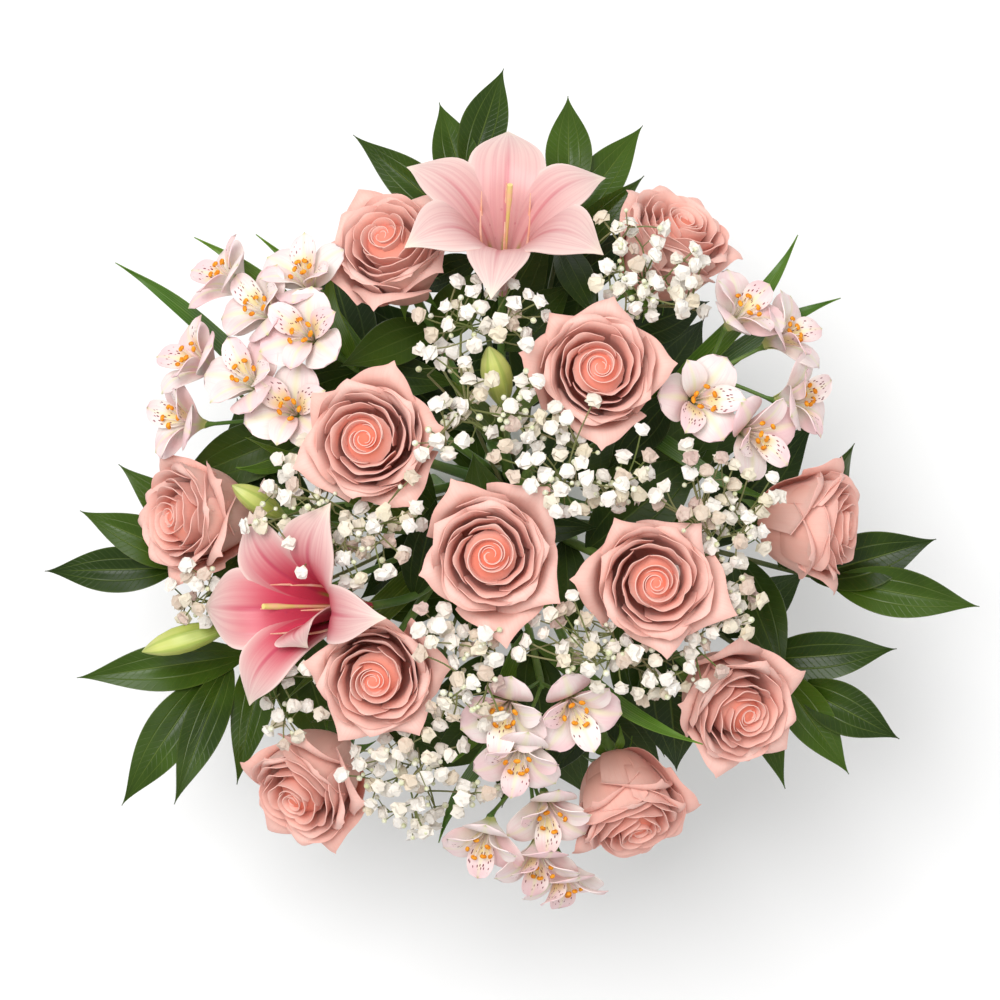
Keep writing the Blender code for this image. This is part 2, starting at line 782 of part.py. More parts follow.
# branch: end of the twig, then leaves as (place on the twig, tip, half width, arch)
BRANCHES = {
    "a": (
        (-18, 178, 258),
        ((0.86, (-82, 204, 246), 13, 8), (0.94, (-34, 222, 246), 13, 8), (1.0, (2, 242, 240), 13, 8)),
    ),
    "b": (
        (38, 164, 256),
        ((1.0, (38, 226, 244), 13, 8), (0.93, (80, 210, 240), 13, 8), (0.84, (80, 180, 256), 10, 8)),
    ),
    "c": (
        (-182, -38, 236),
        ((0.87, (-214, 20, 240), 13, 8), (0.94, (-235, -6, 244), 13, 9), (1.0, (-256, -40, 236), 13, 8)),
    ),
    "d": (
        (-165, -100, 232),
        (
            (0.9, (-238, -100, 236), 14, 9),
            (1.0, (-213, -172, 234), 14, 9),
            (0.94, (-182, -170, 246), 12, 7),
            (0.84, (-148, -160, 236), 12, 7),
        ),
    ),
    "e": (
        (188, -46, 222),
        ((0.88, (200, 32, 232), 14, 5), (0.95, (246, -22, 232), 16, 5), (1.0, (270, -60, 234), 14, 7)),
    ),
    "f": (
        (168, -104, 232),
        (
            (1.0, (224, -134, 240), 14, 8),
            (0.94, (196, -154, 238), 13, 8),
            (0.84, (160, -162, 240), 12, 7),
            (0.9, (224, -84, 230), 14, 7),
        ),
    ),
    "g": (
        (-56, -112, 256),
        ((0.9, (-104, -122, 278), 11, 6), (1.0, (-56, -134, 282), 11, 6), (0.84, (-22, -96, 276), 9, 6)),
    ),
}


def make_branch(key, path, low):
    leaves = BRANCHES[key][1]
    solids = [tube(path, [2.0] * 4 + [1.7] * 3 + [1.3], 4, 0.0)]
    for place, tip, half, arch in leaves:
        base = on_path(path, place)
        solids.append(blade(leaf_surface(base, tip, half, arch), LEAF_ROWS, LEAF))
    add_inner(solids, path, low)
    return make_object(f"branch_{key}", "dark", solids)


def inner_leaves(paths, tree):
    """Broad leaves on the flower stems, set by rule in the gaps between the heads."""
    dice = random.Random("inner leaves")
    hearts = [ROSES[key][0][:2] for key in ROSES]
    middles = []
    spots = []
    found = {key: [] for key in paths}
    keys = [key for key in paths if key[0] in ("rose", "alstroemeria", "lily")]
    for _ in range(2600):
        key = dice.choice(keys)
        place = dice.uniform(0.5, 0.86)
        base = on_path(paths[key], place)
        turn = dice.uniform(0, 2 * math.pi)
        long = dice.uniform(44, 62)
        rise = dice.uniform(-6, 24)
        tip = base + np.array([math.cos(turn) * long, math.sin(turn) * long, rise])
        half = dice.uniform(11, 14)
        if len(found[key]) > 1 or np.hypot(*tip[:2]) > 190 or tip[2] < 215:
            continue
        middle = base[:2] + (tip - base)[:2] * 0.55
        if any(np.hypot(*(middle - other)) < 30 for other in hearts + middles):
            continue
        surface = leaf_surface(base, tip, half, 8, 0.3)
        sample = [surface(u, v / 10) for u in (-1, -0.5, 0, 0.5, 1) for v in range(3, 11)]
        if any(tree.find(Vector(p))[2] < 5.0 for p in sample):
            continue
        if any(np.linalg.norm(p - q) < 6.5 for p in sample for q in spots):
            continue
        found[key].append((place, tuple(tip), half, 8))
        middles.append(middle)
        spots += [surface(u, v / 14) for u in (-1, -0.5, 0, 0.5, 1) for v in range(15)]
        if len(middles) == INNER_LEAVES:
            break
    return found, spots


def leaves_on(kind, key):
    """All the broad leaves of one flower stem."""
    return inner[kind, key] + list(LOW_LEAVES.get((kind, key), ()))


def add_inner(solids, path, leaves):
    for place, tip, half, arch in leaves:
        surface = leaf_surface(on_path(path, place), tip, half, arch, 0.3)
        solids.append(blade(surface, INNER_ROWS, LEAF))


# spray: fork, then patches of florets as (x, y, half width, half depth, lift, clusters)
BREATH = {
    "a": ((-14, 42, 256), ((-10, 60, 38, 42, -4, 11),)),
    "b": ((40, 8, 268), ((48, 16, 30, 26, -4, 6),)),
    "c": ((112, -22, 250), ((108, -30, 32, 42, 0, 9),)),
    "d": ((64, 104, 250), ((78, 122, 30, 26, 14, 8),)),
    "e": ((-98, -16, 262), ((-86, -8, 42, 42, -4, 9),)),
    "f": ((60, -88, 262), ((74, -82, 42, 20, 0, 6),)),
    "g": ((-20, -84, 270), ((-20, -94, 18, 40, 0, 6),)),
    "h": ((-48, -132, 240), ((-42, -158, 38, 28, -8, 7),)),
    "i": ((-138, -64, 240), ((-160, -54, 22, 16, -8, 3), (-112, -110, 14, 20, -6, 2))),
}
TWIG = 0.75
TWIG_FOOT = 0.35
FLORET = 4.8


def dome(x, y):
    """Height of the flower heads over a place."""
    return 135 + math.sqrt(max(240.0 ** 2 - x * x - y * y, 900.0))


def taken_points(paths):
    """Points all over the flowers, leaves and stems that the sprays have to miss."""
    found = []
    fine = [k / 4 for k in range(-4, 5)]
    coarse = (-1, -0.5, 0, 0.5, 1)
    for key in ROSES:
        seat = rose_seat(key)
        middle, spread = rose_petals(key, ROSES[key][3])
        for _, surface in middle + spread:
            found += [seat.out(*surface(u, v / 12)) for u in fine for v in range(1, 13)]
        for z in range(0, 58, 6):
            for k in range(8):
                a = math.pi * k / 4
                found.append(seat.out(10 * math.cos(a), 10 * math.sin(a), z))
        found += [seat.out(0, 0, z) for z in range(0, 58, 6)]
    for key in LILIES:
        seat = lily_seat(key)
        for direction, reach, half in LILIES[key][3]:
            surface = lily_petal(turn_of(direction), reach, half)
            found += [seat.out(*surface(u, v / 24)) for u in fine for v in range(1, 25)]
        for foot, end in lily_threads():
            found += [seat.out(*(np.array(foot) + (np.array(end) - foot) * t / 5)) for t in range(6)]
        for base, tip, thick in LILY_EXTRAS[key][0]:
            base, tip = np.array(base, float), np.array(tip, float)
            side = unit(np.cross(tip - base, (0, 0, 1)))
            up = unit(np.cross(side, tip - base))
            for t in (0, 0.2, 0.4, 0.6, 0.8, 1):
                for k in range(6):
                    a = math.pi * k / 3
                    away = side * math.cos(a) + up * math.sin(a)
                    found.append(base + (tip - base) * t + away * thick * 0.8)
            start = paths["lily", key][3]
            found += [start + (base - start) * t / 20 for t in range(21)]
    for key in ALSTROEMERIA:
        fork = np.array(ALSTROEMERIA[key][0], float)
        for mouth in ALSTROEMERIA[key][1]:
            seat = alstroemeria_seat(fork, mouth)
            for k in range(18):
                a = math.pi * k / 9
                for rho, z in ((3, 4), (7, 12), (11, 16), (16, 19), (21, 21), (26, 23)):
                    found.append(seat.out(rho * math.cos(a), rho * math.sin(a), z))
            found += [fork + (seat.base - fork) * t / 10 for t in range(11)]
    for kind, leaves in (("lily", LILY_EXTRAS), ("alstroemeria", ALSTROEMERIA), ("branch", BRANCHES)):
        for key in leaves:
            path = paths[kind, key]
            for place, tip, half, arch in leaves[key][-1]:
                surface = leaf_surface(on_path(path, place), tip, half, arch)
                found += [surface(u, v / 20) for u in coarse for v in range(21)]
    for path in (paths[key] for key in paths if key[0] != "breath"):
        for a, b in zip(path[1:], path[2:]):
            long = np.linalg.norm(b - a)
            found += [a + (b - a) * t / long for t in np.arange(0, long, 3)]
    return found


def tree_of(points):
    tree = KDTree(len(points))
    for k, point in enumerate(points):
        tree.insert(Vector(point), k)
    tree.balance()
    return tree


class Spray:
    """Twigs and florets that grow through the free space between the flowers."""

    def __init__(self, key, path, tree, others):
        self.dice = random.Random("breath " + key)
        self.tree = tree
        self.others = np.array([o for o, _ in others])
        self.rooms = np.array([r for _, r in others])
        self.fork = path[-1]
        self.twigs = []
        self.florets = []
        self.knots = [on_path(path, place) for place in (0.8, 0.84, 0.88, 0.92, 0.96, 1.0)] * 2
        self.grow(BREATH[key][1])

    def free(self, point, room):
        if self.tree.find(Vector(point))[2] < room:
            return False
        return bool((np.linalg.norm(self.others - point, axis=1) > room + self.rooms).all())

    def clear(self, a, b, skip):
        long = np.linalg.norm(b - a)
        steps = max(2, int(long / 2.5))
        for k in range(1, steps + 1):
            if long * k / steps < skip:
                continue
            if not self.free(a + (b - a) * k / steps, 4.4):
                return False
        return True

    def reach(self, target):
        """A way from a knot of this spray to the target, straight or with one bend."""

        def cost(knot):
            return np.linalg.norm(knot - target) + 0.6 * max(0.0, knot[2] - target[2] + 12)

        near = sorted(self.knots, key=cost)
        for knot in near[:10]:
            far = np.linalg.norm(target - knot)
            if far < 9 or far > 120 or target[2] < knot[2] - 4:
                continue
            if self.clear(knot, target, 2.0):
                return [knot, target]
            for _ in range(10):
                way = (knot + target) / 2
                way = way + np.array([self.dice.uniform(-1, 1) for _ in range(3)]) * far * 0.3
                if self.clear(knot, way, 2.0) and self.clear(way, target, 0.0):
                    return [knot, way, target]
        return None

    def grow(self, patches):
        for x, y, wide, deep, lift, clusters in patches:
            done = 0
            for _ in range(clusters * 14):
                if done == clusters:
                    break
                a = self.dice.uniform(0, 2 * math.pi)
                r = math.sqrt(self.dice.random())
                px, py = x + wide * r * math.cos(a), y + deep * r * math.sin(a)
                target = np.array([px, py, dome(px, py) + lift + self.dice.uniform(-22, 8)])
                if not self.free(target, 7.0):
                    continue
                if any(np.linalg.norm(f[1] - target) < 13 for f in self.florets):
                    continue
                way = self.reach(target)
                if way is None:
                    continue
                done += 1
                for a1, b1 in zip(way[:-1], way[1:-1]):
                    self.twigs.append((a1, b1))
                used = next(n for n, k in enumerate(self.knots) if k is way[0])
                self.knots.pop(used)
                neck = self.cluster(way[-2], target)
                self.knots += way[1:-1] + [way[-2] + (neck - way[-2]) * t for t in (0.3, 0.5)]

    def cluster(self, foot, centre):
        """A floret on its stalk, with up to two more beside it."""
        axis = unit(unit(centre - foot) + np.array([0, 0, 0.8]))
        neck = centre - axis * 0.42 * FLORET
        self.florets.append((foot, centre, axis))
        for place in (0.62, 0.76)[: self.dice.choice((0, 1, 1, 2))]:
            for _ in range(8):
                side = np.array([self.dice.uniform(-1, 1) for _ in range(3)])
                side = unit(side - axis * side.dot(axis) * 0.6)
                spot = centre + side * 10.5
                near = min(np.linalg.norm(f[1] - spot) for f in self.florets)
                if near > 9.8 and self.free(spot, 7.0):
                    start = foot + (neck - foot) * place
                    self.florets.append((start, spot, unit(axis + side * 0.7)))
                    break
        return neck

    def spots(self):
        """What the next sprays have to miss."""
        found = [(f[1], FLORET) for f in self.florets]
        for a, b in self.twigs + [f[:2] for f in self.florets]:
            steps = max(1, int(np.linalg.norm(b - a) / 3))
            found += [(a + (b - a) * k / steps, 0.0) for k in range(steps + 1)]
        return found


def floret(foot, centre, axis):
    """A double floret, a small five-cornered cushion, with its stalk."""
    seat = Seat(centre, axis)
    points = []
    for middle, lift, radius, sides in (
        (foot, 0, TWIG_FOOT, 3),
        (centre, -0.42 * FLORET, TWIG, 3),
        (centre, 0.1 * FLORET, FLORET, 5),
    ):
        for k in range(sides):
            a = 2 * math.pi * k / sides
            away = seat.x * math.cos(a) + seat.y * math.sin(a)
            points.append(middle + seat.z * lift + away * radius)
    points.append(seat.out(0, 0, 0.5 * FLORET))
    faces = [(0, 2, 1)]
    for k in range(3):
        n = (k + 1) % 3
        faces += [(k, n, n + 3), (k, n + 3, k + 3)]
    faces += [(3, 4, 7), (4, 8, 7), (4, 5, 9), (4, 9, 8), (5, 10, 9), (5, 3, 10), (3, 6, 10), (3, 7, 6)]
    faces += [(6 + k, 6 + (k + 1) % 5, 11) for k in range(5)]
    points = np.array(points)
    if volume(points, faces) < 0:
        faces = [f[::-1] for f in faces]
    return points, faces


def make_breath(key, path, spray):
    solids = [tube(path, [1.4] * 3 + [1.2] * (len(path) - 3), 4, 0.0)]
    for a, b in spray.twigs:
        solids.append(tube([a, b + unit(b - a) * 0.4], [TWIG_FOOT, TWIG], 3))
    for foot, centre, axis in spray.florets:
        solids.append(floret(foot, centre, axis))
    return make_object(f"breath_{key}", "breath", solids)


def make_tie(spots, radii):
    """A wound band round the stems, three turns high."""
    inner = max(np.linalg.norm(p) + r * 1.06 for p, r in zip(spots, radii)) + 0.35
    inner /= math.cos(math.pi / 18)
    outer = inner + 2.6
    groove = outer - 0.8
    profile = [(inner, -6), (outer, -5), (groove, -2), (outer, 0), (groove, 2), (outer, 5), (inner, 6)]
    points = []
    for k in range(18):
        a = turn_of(20 * k)
        points += [(r * math.cos(a), r * math.sin(a), WAIST + z) for r, z in profile]
    n = len(profile)
    faces = []
    for k in range(18):
        a, b = n * k, n * ((k + 1) % 18)
        for j in range(n):
            m = (j + 1) % n
            faces += [(a + j, b + j, b + m), (a + j, b + m, a + m)]
    points = np.array(points)
    if volume(points, faces) < 0:
        faces = [f[::-1] for f in faces]
    return make_object("tie", "twine", [(points, faces)])


def waist_wish(radius, base):
    h = base[2] - WAIST
    a = math.atan2(base[1], base[0]) - math.atan(SPIN * h)
    far = math.hypot(base[0], base[1]) * 0.12 + 1
    return radius, far * math.cos(a), far * math.sin(a)


def path_of(kind, key, p):
    """The whole way of one stem from its cut end."""
    if kind == "rose":
        seat = rose_seat(key)
        return stem_path(p, seat.out(0, 0, -6), seat.z)
    if kind == "lily":
        seat = lily_seat(key)
        return stem_path(p, seat.out(0, 0, -GAP), seat.z, 6)
    if kind == "alstroemeria":
        fork = np.array(ALSTROEMERIA[key][0], float)
        return stem_path(p, fork, (fork[0] * 0.004, fork[1] * 0.004, 1))
    if kind == "branch":
        end = np.array(BRANCHES[key][0], float)
        return stem_path(p, end, unit((end[0], end[1], 0)) + np.array([0, 0, 0.55]), 6, 0.4)
    fork = np.array(BREATH[key][0], float)
    return stem_path(p, fork, (fork[0] * 0.003, fork[1] * 0.003, 1), 4)


def part_paths(paths, radii):
    """Bends the upper stems apart where two would touch."""
    keys = list(paths)
    steps = np.arange(12) / 12.0
    for _ in range(120):
        spots, owner, where = [], [], []
        for n, key in enumerate(keys):
            path = paths[key]
            for k in range(1, len(path) - 1):
                for t in steps:
                    spots.append(path[k] + (path[k + 1] - path[k]) * t)
                    owner.append(n)
                    where.append(k + t)
        spots = np.array(spots)
        owner = np.array(owner)
        where = np.array(where)
        size = np.array([radii[keys[n]] for n in owner])
        far = np.linalg.norm(spots[:, None] - spots[None], axis=2)
        need = size[:, None] + size[None] + 1.1 - far
        need[owner[:, None] >= owner[None]] = 0
        need[np.minimum(where[:, None], where[None]) < 1.1] = 0
        if need.max() < 0.05:
            break
        worst = {}
        for i, j in zip(*np.nonzero(need > 0)):
            pair = owner[i], owner[j]
            if pair not in worst or need[i, j] > need[worst[pair]]:
                worst[pair] = (i, j)
        for i, j in worst.values():
            push = unit(spots[i] - spots[j]) * need[i, j] * 0.6
            for n, way in ((i, push), (j, -push)):
                path = paths[keys[owner[n]]]
                k = int(where[n])
                t = where[n] - k
                shares = [(k, 1 - t), (k + 1, t)]
                shares = [(m, share) for m, share in shares if 2 <= m <= len(path) - 2]
                whole = sum(share * share for _, share in shares)
                for m, share in shares:
                    if whole > 0.01:
                        path[m] = path[m] + way * share / max(whole, 0.1) * 0.7


for old in list(bpy.data.objects):
    bpy.data.objects.remove(old)

STEMS = []
for key in ROSES:
    STEMS.append(("rose", key, 3.0, rose_seat(key).base))
for key in LILIES:
    STEMS.append(("lily", key, 3.8, lily_seat(key).base))
for key in ALSTROEMERIA:
    STEMS.append(("alstroemeria", key, 2.4, np.array(ALSTROEMERIA[key][0], float)))
for key in BRANCHES:
    STEMS.append(("branch", key, 2.0, np.array(BRANCHES[key][0], float)))
for key in BREATH:
    STEMS.append(("breath", key, 1.4, np.array(BREATH[key][0], float)))

waist = pack_waist([waist_wish(radius, base) for _, _, radius, base in STEMS])
PATHS = {(kind, key): path_of(kind, key, p) for (kind, key, _, _), p in zip(STEMS, waist)}
part_paths(PATHS, {(kind, key): radius for kind, key, radius, _ in STEMS})
taken = taken_points(PATHS)
twigs = []
for key in BREATH:
    twigs += [on_path(PATHS["breath", key], t / 60) for t in range(10, 61)]
inner, spots = inner_leaves(PATHS, tree_of(taken + twigs))
tree = tree_of(taken + spots)

sprays = {}
others = []
for key in BREATH:
    stems = []
    for other in BREATH:
        path = PATHS["breath", other]
        if other != key:
            stems += [(on_path(path, 0.25 + 0.75 * t / 60), 0.0) for t in range(61)]
    sprays[key] = Spray(key, PATHS["breath", key], tree, others + stems)
    others += sprays[key].spots()

for key in ROSES:
    make_rose(key)
    make_rose_stem(key, PATHS["rose", key], leaves_on("rose", key))
for key in LILIES:
    make_lily(key)
    make_lily_stem(key, PATHS["lily", key], leaves_on("lily", key))
for key in ALSTROEMERIA:
    make_alstroemeria(key)
    make_alstroemeria_stem(key, PATHS["alstroemeria", key], leaves_on("alstroemeria", key))
for key in BRANCHES:
    make_branch(key, PATHS["branch", key], leaves_on("branch", key))
for key in BREATH:
    make_breath(key, PATHS["breath", key], sprays[key])
make_tie(waist, [radius for _, _, radius, _ in STEMS])

# the middle of the whole bouquet's box goes to the origin
corners = [v.co for obj in bpy.context.scene.objects for v in obj.data.vertices]
shift = [-(max(c[k] for c in corners) + min(c[k] for c in corners)) / 2 for k in (0, 1)]
for obj in bpy.context.scene.objects:
    obj.data.transform(Matrix.Translation((shift[0], shift[1], 0.0)))
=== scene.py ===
"""Looks of the hand-tied bouquet: petals, veins, stamens, florets, leaves, stems, twine and light.

Lengths are millimetres from the tie's axis until place() sets them in the frame, in metres.
Seen from above with +Y at the top, +X is on the right.
"""

import math
import random

import bmesh
import bpy
import numpy as np
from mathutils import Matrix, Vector
from mathutils.kdtree import KDTree


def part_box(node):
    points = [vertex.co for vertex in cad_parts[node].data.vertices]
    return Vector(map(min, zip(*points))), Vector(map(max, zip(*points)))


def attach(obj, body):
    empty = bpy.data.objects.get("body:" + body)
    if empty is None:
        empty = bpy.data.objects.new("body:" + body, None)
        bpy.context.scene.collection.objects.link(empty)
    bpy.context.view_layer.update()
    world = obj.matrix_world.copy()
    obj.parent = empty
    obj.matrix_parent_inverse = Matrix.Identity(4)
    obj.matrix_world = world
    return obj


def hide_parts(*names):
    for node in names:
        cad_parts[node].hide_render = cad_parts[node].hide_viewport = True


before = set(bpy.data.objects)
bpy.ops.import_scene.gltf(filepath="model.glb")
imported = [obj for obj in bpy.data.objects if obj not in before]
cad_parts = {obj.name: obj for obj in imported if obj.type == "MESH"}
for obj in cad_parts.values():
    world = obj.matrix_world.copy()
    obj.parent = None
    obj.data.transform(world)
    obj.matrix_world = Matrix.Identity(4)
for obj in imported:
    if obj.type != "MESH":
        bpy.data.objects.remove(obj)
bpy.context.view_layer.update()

WAIST = 150.0  # height of the tie
SPIN = 0.02  # twist of the stems, radians per millimetre of height
STRAIGHT_TO = 178.0  # the stems run straight up to here, then bend towards their flowers
GAP = 0.3  # left between two parts that touch
ROSE_TALL = 52.0  # base of a rose to its heart
INNER_LEAVES = 20  # leaves inside the bunch
# radii of the stems at the tie
RADII = {"rose": 3.0, "lily": 3.8, "alstroemeria": 2.4, "branch": 2.0, "breath": 1.4}
# Larger leaves below the heads: place on the stem, tip, half width, arch.
LOW_LEAVES = {
    ("rose", "b"): ((0.667, (116, 28, 242), 20.0, 8),),
    ("rose", "e"): (
        (0.869, (-88, 73, 275), 13.0, 8),
        (0.459, (-97, 124, 182), 24, 8),
        (0.695, (25, 80, 182), 13.9, 12),
    ),
    ("rose", "f"): ((0.888, (119, 113, 218), 13.6, 8),),
    ("rose", "g"): ((0.694, (134, 60, 195), 20.3, 8),),
    ("rose", "h"): (
        (0.875, (101, -155, 210), 19.7, 12),
        (0.724, (96, -150, 177), 17.5, 5),
    ),
    ("rose", "i"): (
        (0.866, (95, -159, 195), 14.2, 5),
        (0.895, (24, -157, 243), 11.4, 5),
    ),
    ("rose", "j"): ((0.871, (-10, -155, 174), 15.9, 5),),
    ("alstroemeria", "a"): (
        (0.731, (-107, 87, 185), 16.4, 8),
        (0.276, (-45, 95, 172), 16.3, 12),
        (0.897, (-185, 9, 227), 16.2, 12),
    ),
    ("alstroemeria", "b"): ((0.805, (-100, 145, 186), 16.4, 8),),
    ("alstroemeria", "c"): (
        (0.746, (119, 106, 183), 18.6, 5),
        (0.887, (60, 17, 246), 12.4, 5),
        (0.45, (157, 42, 167), 24, 5),
    ),
    ("alstroemeria", "d"): ((0.885, (25, -141, 248), 15.4, 8),),
    ("alstroemeria", "e"): (
        (0.83, (-44, -156, 204), 14.7, 5),
        (0.709, (52, -175, 168), 20.4, 8),
    ),
    ("branch", "a"): (
        (0.621, (29, 154, 247), 15.2, 8),
        (0.811, (-50, 118, 217), 9.8, 12),
    ),
    ("branch", "b"): (
        (0.464, (49, 165, 200), 24, 8),
        (0.756, (79, 154, 219), 13.3, 8),
        (0.897, (53, 97, 283), 9.6, 12),
    ),
    ("branch", "c"): (
        (0.789, (-152, 59, 194), 18.9, 8),
        (0.797, (-168, -56, 221), 10.4, 8),
    ),
    ("branch", "d"): (
        (0.768, (-94, -150, 197), 21.1, 12),
        (0.295, (-79, -56, 230), 14.1, 12),
    ),
    ("branch", "e"): (
        (0.769, (159, -103, 246), 15.6, 12),
        (0.68, (183, 46, 187), 20.8, 5),
    ),
    ("branch", "f"): ((0.802, (177, -41, 189), 13.5, 5),),
}
FLORET = 4.8  # radius of a floret of the baby's breath
# name: heart x, y, z; lean angle; direction of the lean; outer petals as (direction, reach)
ROSES = {
    "a": ((-5, -29, 373), 0, 90, ((117, 40), (50, 43), (-34, 38), (-80, 43), (195, 34))),
    "b": ((81, -43, 360), 5, -25, ((178, 40), (122, 34), (-22, 42), (-80, 36), (50, 34))),
    "c": ((-71, 32, 362), 10, 160, ((70, 39), (8, 37), (-55, 40), (200, 38), (140, 34))),
    "d": ((52, 69, 358), 7, 60, ((78, 35), (5, 37), (-88, 38), (168, 38), (130, 34))),
    "e": ((-63, 143, 306), 33, 118, ((90, 38), (20, 34), (160, 38), (235, 36), (300, 32))),
    "f": ((101, 152, 292), 52, 60, ((90, 36), (15, 34), (160, 34), (235, 34), (305, 34))),
    "g": ((192, -14, 276), 68, -4, ((90, 37), (20, 36), (160, 36), (230, 34), (300, 34))),
    "h": ((134, -117, 306), 33, -40, ((90, 37), (25, 36), (155, 38), (225, 40), (300, 34))),
    "i": ((77, -184, 272), 57, -70, ((90, 38), (20, 36), (160, 36), (235, 32), (300, 32))),
    "j": ((-114, -167, 272), 45, 228, ((90, 40), (25, 36), (150, 37), (225, 36), (300, 36))),
    "k": ((-66, -95, 346), 12, 245, ((10, 37), (95, 32), (170, 34), (240, 36), (305, 34))),
    "l": ((-181, -10, 285), 47, 183, ((90, 36), (20, 36), (160, 36), (235, 34), (300, 34))),
}
# name: heart x, y, z; lean angle; direction; petals as (direction, reach, width)
LILIES = {
    "a": (
        (2, 129, 297), 40, 88,
        ((90, 62, 19), (150, 62, 16), (210, 60, 19), (265, 66, 15), (330, 60, 19), (28, 60, 16)),
    ),
    "b": (
        (-87, -58, 302), 40, 180,
        ((90, 64, 20), (150, 60, 15), (206, 22, 14), (268, 70, 14), (332, 64, 19), (30, 60, 16)),
    ),
}


def turn_of(degrees):
    return math.radians(degrees)


def unit(v):
    v = np.asarray(v, float)
    return v / np.linalg.norm(v)


def bezier(points, t):
    """Point of a cubic curve at t."""
    a, b, c, d = points
    s = 1 - t
    w = (s * s * s, 3 * s * s * t, 3 * s * t * t, t * t * t)
    return tuple(w[0] * p + w[1] * q + w[2] * r + w[3] * o for p, q, r, o in zip(a, b, c, d))


class Seat:
    """Where a flower sits: its base, its axis, and two directions across it."""

    def __init__(self, base, axis):
        self.base = np.asarray(base, float)
        self.z = unit(axis)
        flat = math.hypot(self.z[0], self.z[1])
        if flat < 0.02:
            self.x = np.array([1.0, 0.0, 0.0])
            self.x = unit(self.x - self.z * self.x.dot(self.z))
        else:
            self.x = unit(np.cross(self.z, (0, 0, 1)))
        self.y = np.cross(self.z, self.x)

    def out(self, x, y, z):
        return self.base + self.x * x + self.y * y + self.z * z


def leaning(lean, direction):
    a, d = turn_of(lean), turn_of(direction)
    return np.array([math.sin(a) * math.cos(d), math.sin(a) * math.sin(d), math.cos(a)])


def strand(p, z):
    """Where a stem through the waist point p is at height z, while it is straight."""
    h = z - WAIST
    return np.array([p[0] - SPIN * p[1] * h, p[1] + SPIN * p[0] * h, z])


def pack_waist(wanted):
    """Waist points for stems of (radius, x, y), side by side without touching."""
    radii = np.array([r * 1.04 + 0.12 for r, _, _ in wanted])
    spots = np.array([(x, y) for _, x, y in wanted], float)
    for step in range(900):
        if step < 700:
            spots *= 0.994
        for _ in range(3):
            gap = spots[:, None] - spots[None]
            far = np.linalg.norm(gap, axis=2) + np.eye(len(spots)) * 1e3
            over = radii[:, None] + radii[None] - far
            over = np.where(over > 0, over, 0) * 0.5
            spots += ((gap / far[:, :, None]) * over[:, :, None]).sum(axis=1)
    return spots


def stem_path(p, end, axis, bends=4, reach=0.55):
    """From the cut end through the tie, then bending into a flower's axis."""
    start = strand(p, STRAIGHT_TO)
    way = unit(start - strand(p, 0.0))
    end = np.asarray(end, float)
    long = np.linalg.norm(end - start)
    a, b = start + way * long * 0.4, end - unit(axis) * long * reach
    path = [strand(p, 0.0)]
    for k in range(bends + 1):
        path.append(np.array(bezier((start, a, b, end), k / bends)))
    return path


def rose_petal(turn, profile, half, spiral, curl, rounding, sharp):
    """Surface of one petal in the rose's own space. v runs from root to edge."""

    def at(u, v):
        t = v * (1 - rounding * abs(u) ** sharp)
        rho, z = bezier(profile, t)
        width = half * (0.25 + 0.75 * math.sin(min(1.0, t * 1.2) * math.pi / 2))
        roll = curl * abs(u) ** 3 * t
        a = turn + u * width / max(rho, 4.0)
        rho = rho + spiral * u * min(1.0, 2.5 * t) + roll
        return rho * math.cos(a), rho * math.sin(a), z - 0.7 * roll

    return at


def rose_petals(key, outer):
    """The middle and the outer petals of one rose, each as (direction, surface)."""
    dice = random.Random("rose " + key)
    first = dice.uniform(0, 360)
    middle = []
    for k in range(4):
        reach = 25 + dice.uniform(-1, 1.5)
        profile = ((4, 12), (25, 8), (18.5, 53), (reach, 50 - 0.7 * k))
        turn = turn_of(first + 90 * k + dice.uniform(-6, 6))
        middle.append((turn, rose_petal(turn, profile, 19, 1.5, 2.0, 0.2, 1.7)))
    spread = []
    for k, (direction, reach) in enumerate(outer):
        drop = k * 1.0
        profile = ((4, 2), (0.82 * reach, -1.5), (0.66 * reach, 58 - drop), (reach, 42 - drop))
        turn = turn_of(direction)
        spread.append((turn, rose_petal(turn, profile, 22, 2.0, 4.0, 0.26, 1.5)))
    return middle, spread


def rose_seat(key):
    heart, lean, direction, _ = ROSES[key]
    axis = leaning(lean, direction)
    seat = Seat(np.array(heart, float) - axis * ROSE_TALL, axis)
    if lean < 15:
        # an upright rose counts its petals from +X
        x = np.array([1.0, 0, 0])
        seat.x = unit(x - axis * x.dot(axis))
        seat.y = np.cross(seat.z, seat.x)
    return seat


LILY_DEEP = 25.0  # base of a lily to the middle of its throat


def lily_seat(key):
    heart, lean, direction, _ = LILIES[key]
    axis = leaning(lean, direction)
    return Seat(np.array(heart, float) - axis * LILY_DEEP, axis)


def lily_petal(turn, reach, half):
    """Surface of one lily petal, a gutter that opens and curls back at its tip."""
    profile = ((2.5, 0), (8, 40), (reach * 0.42, 84), (reach, 56 + 0.1 * reach))
    c, s = math.cos(turn), math.sin(turn)

    def at(u, v):
        rho, z = bezier(profile, v)
        near, low = bezier(profile, max(0.0, v - 0.02))
        slope = unit((rho - near, z - low)) if v > 0.02 else unit((0.1, 1))
        wide = half * (0.16 + 0.84 * math.sin(math.pi * min(1.0, v * 0.93) ** 1.15)) * (1 - v ** 8)
        lift = wide * abs(u) * (0.55 - 0.75 * v)
        rho, z = rho - slope[1] * lift, z + slope[0] * lift
        across = wide * u * (1 if v > 0.05 else 0.6)
        return rho * c - across * s, rho * s + across * c, z

    return at


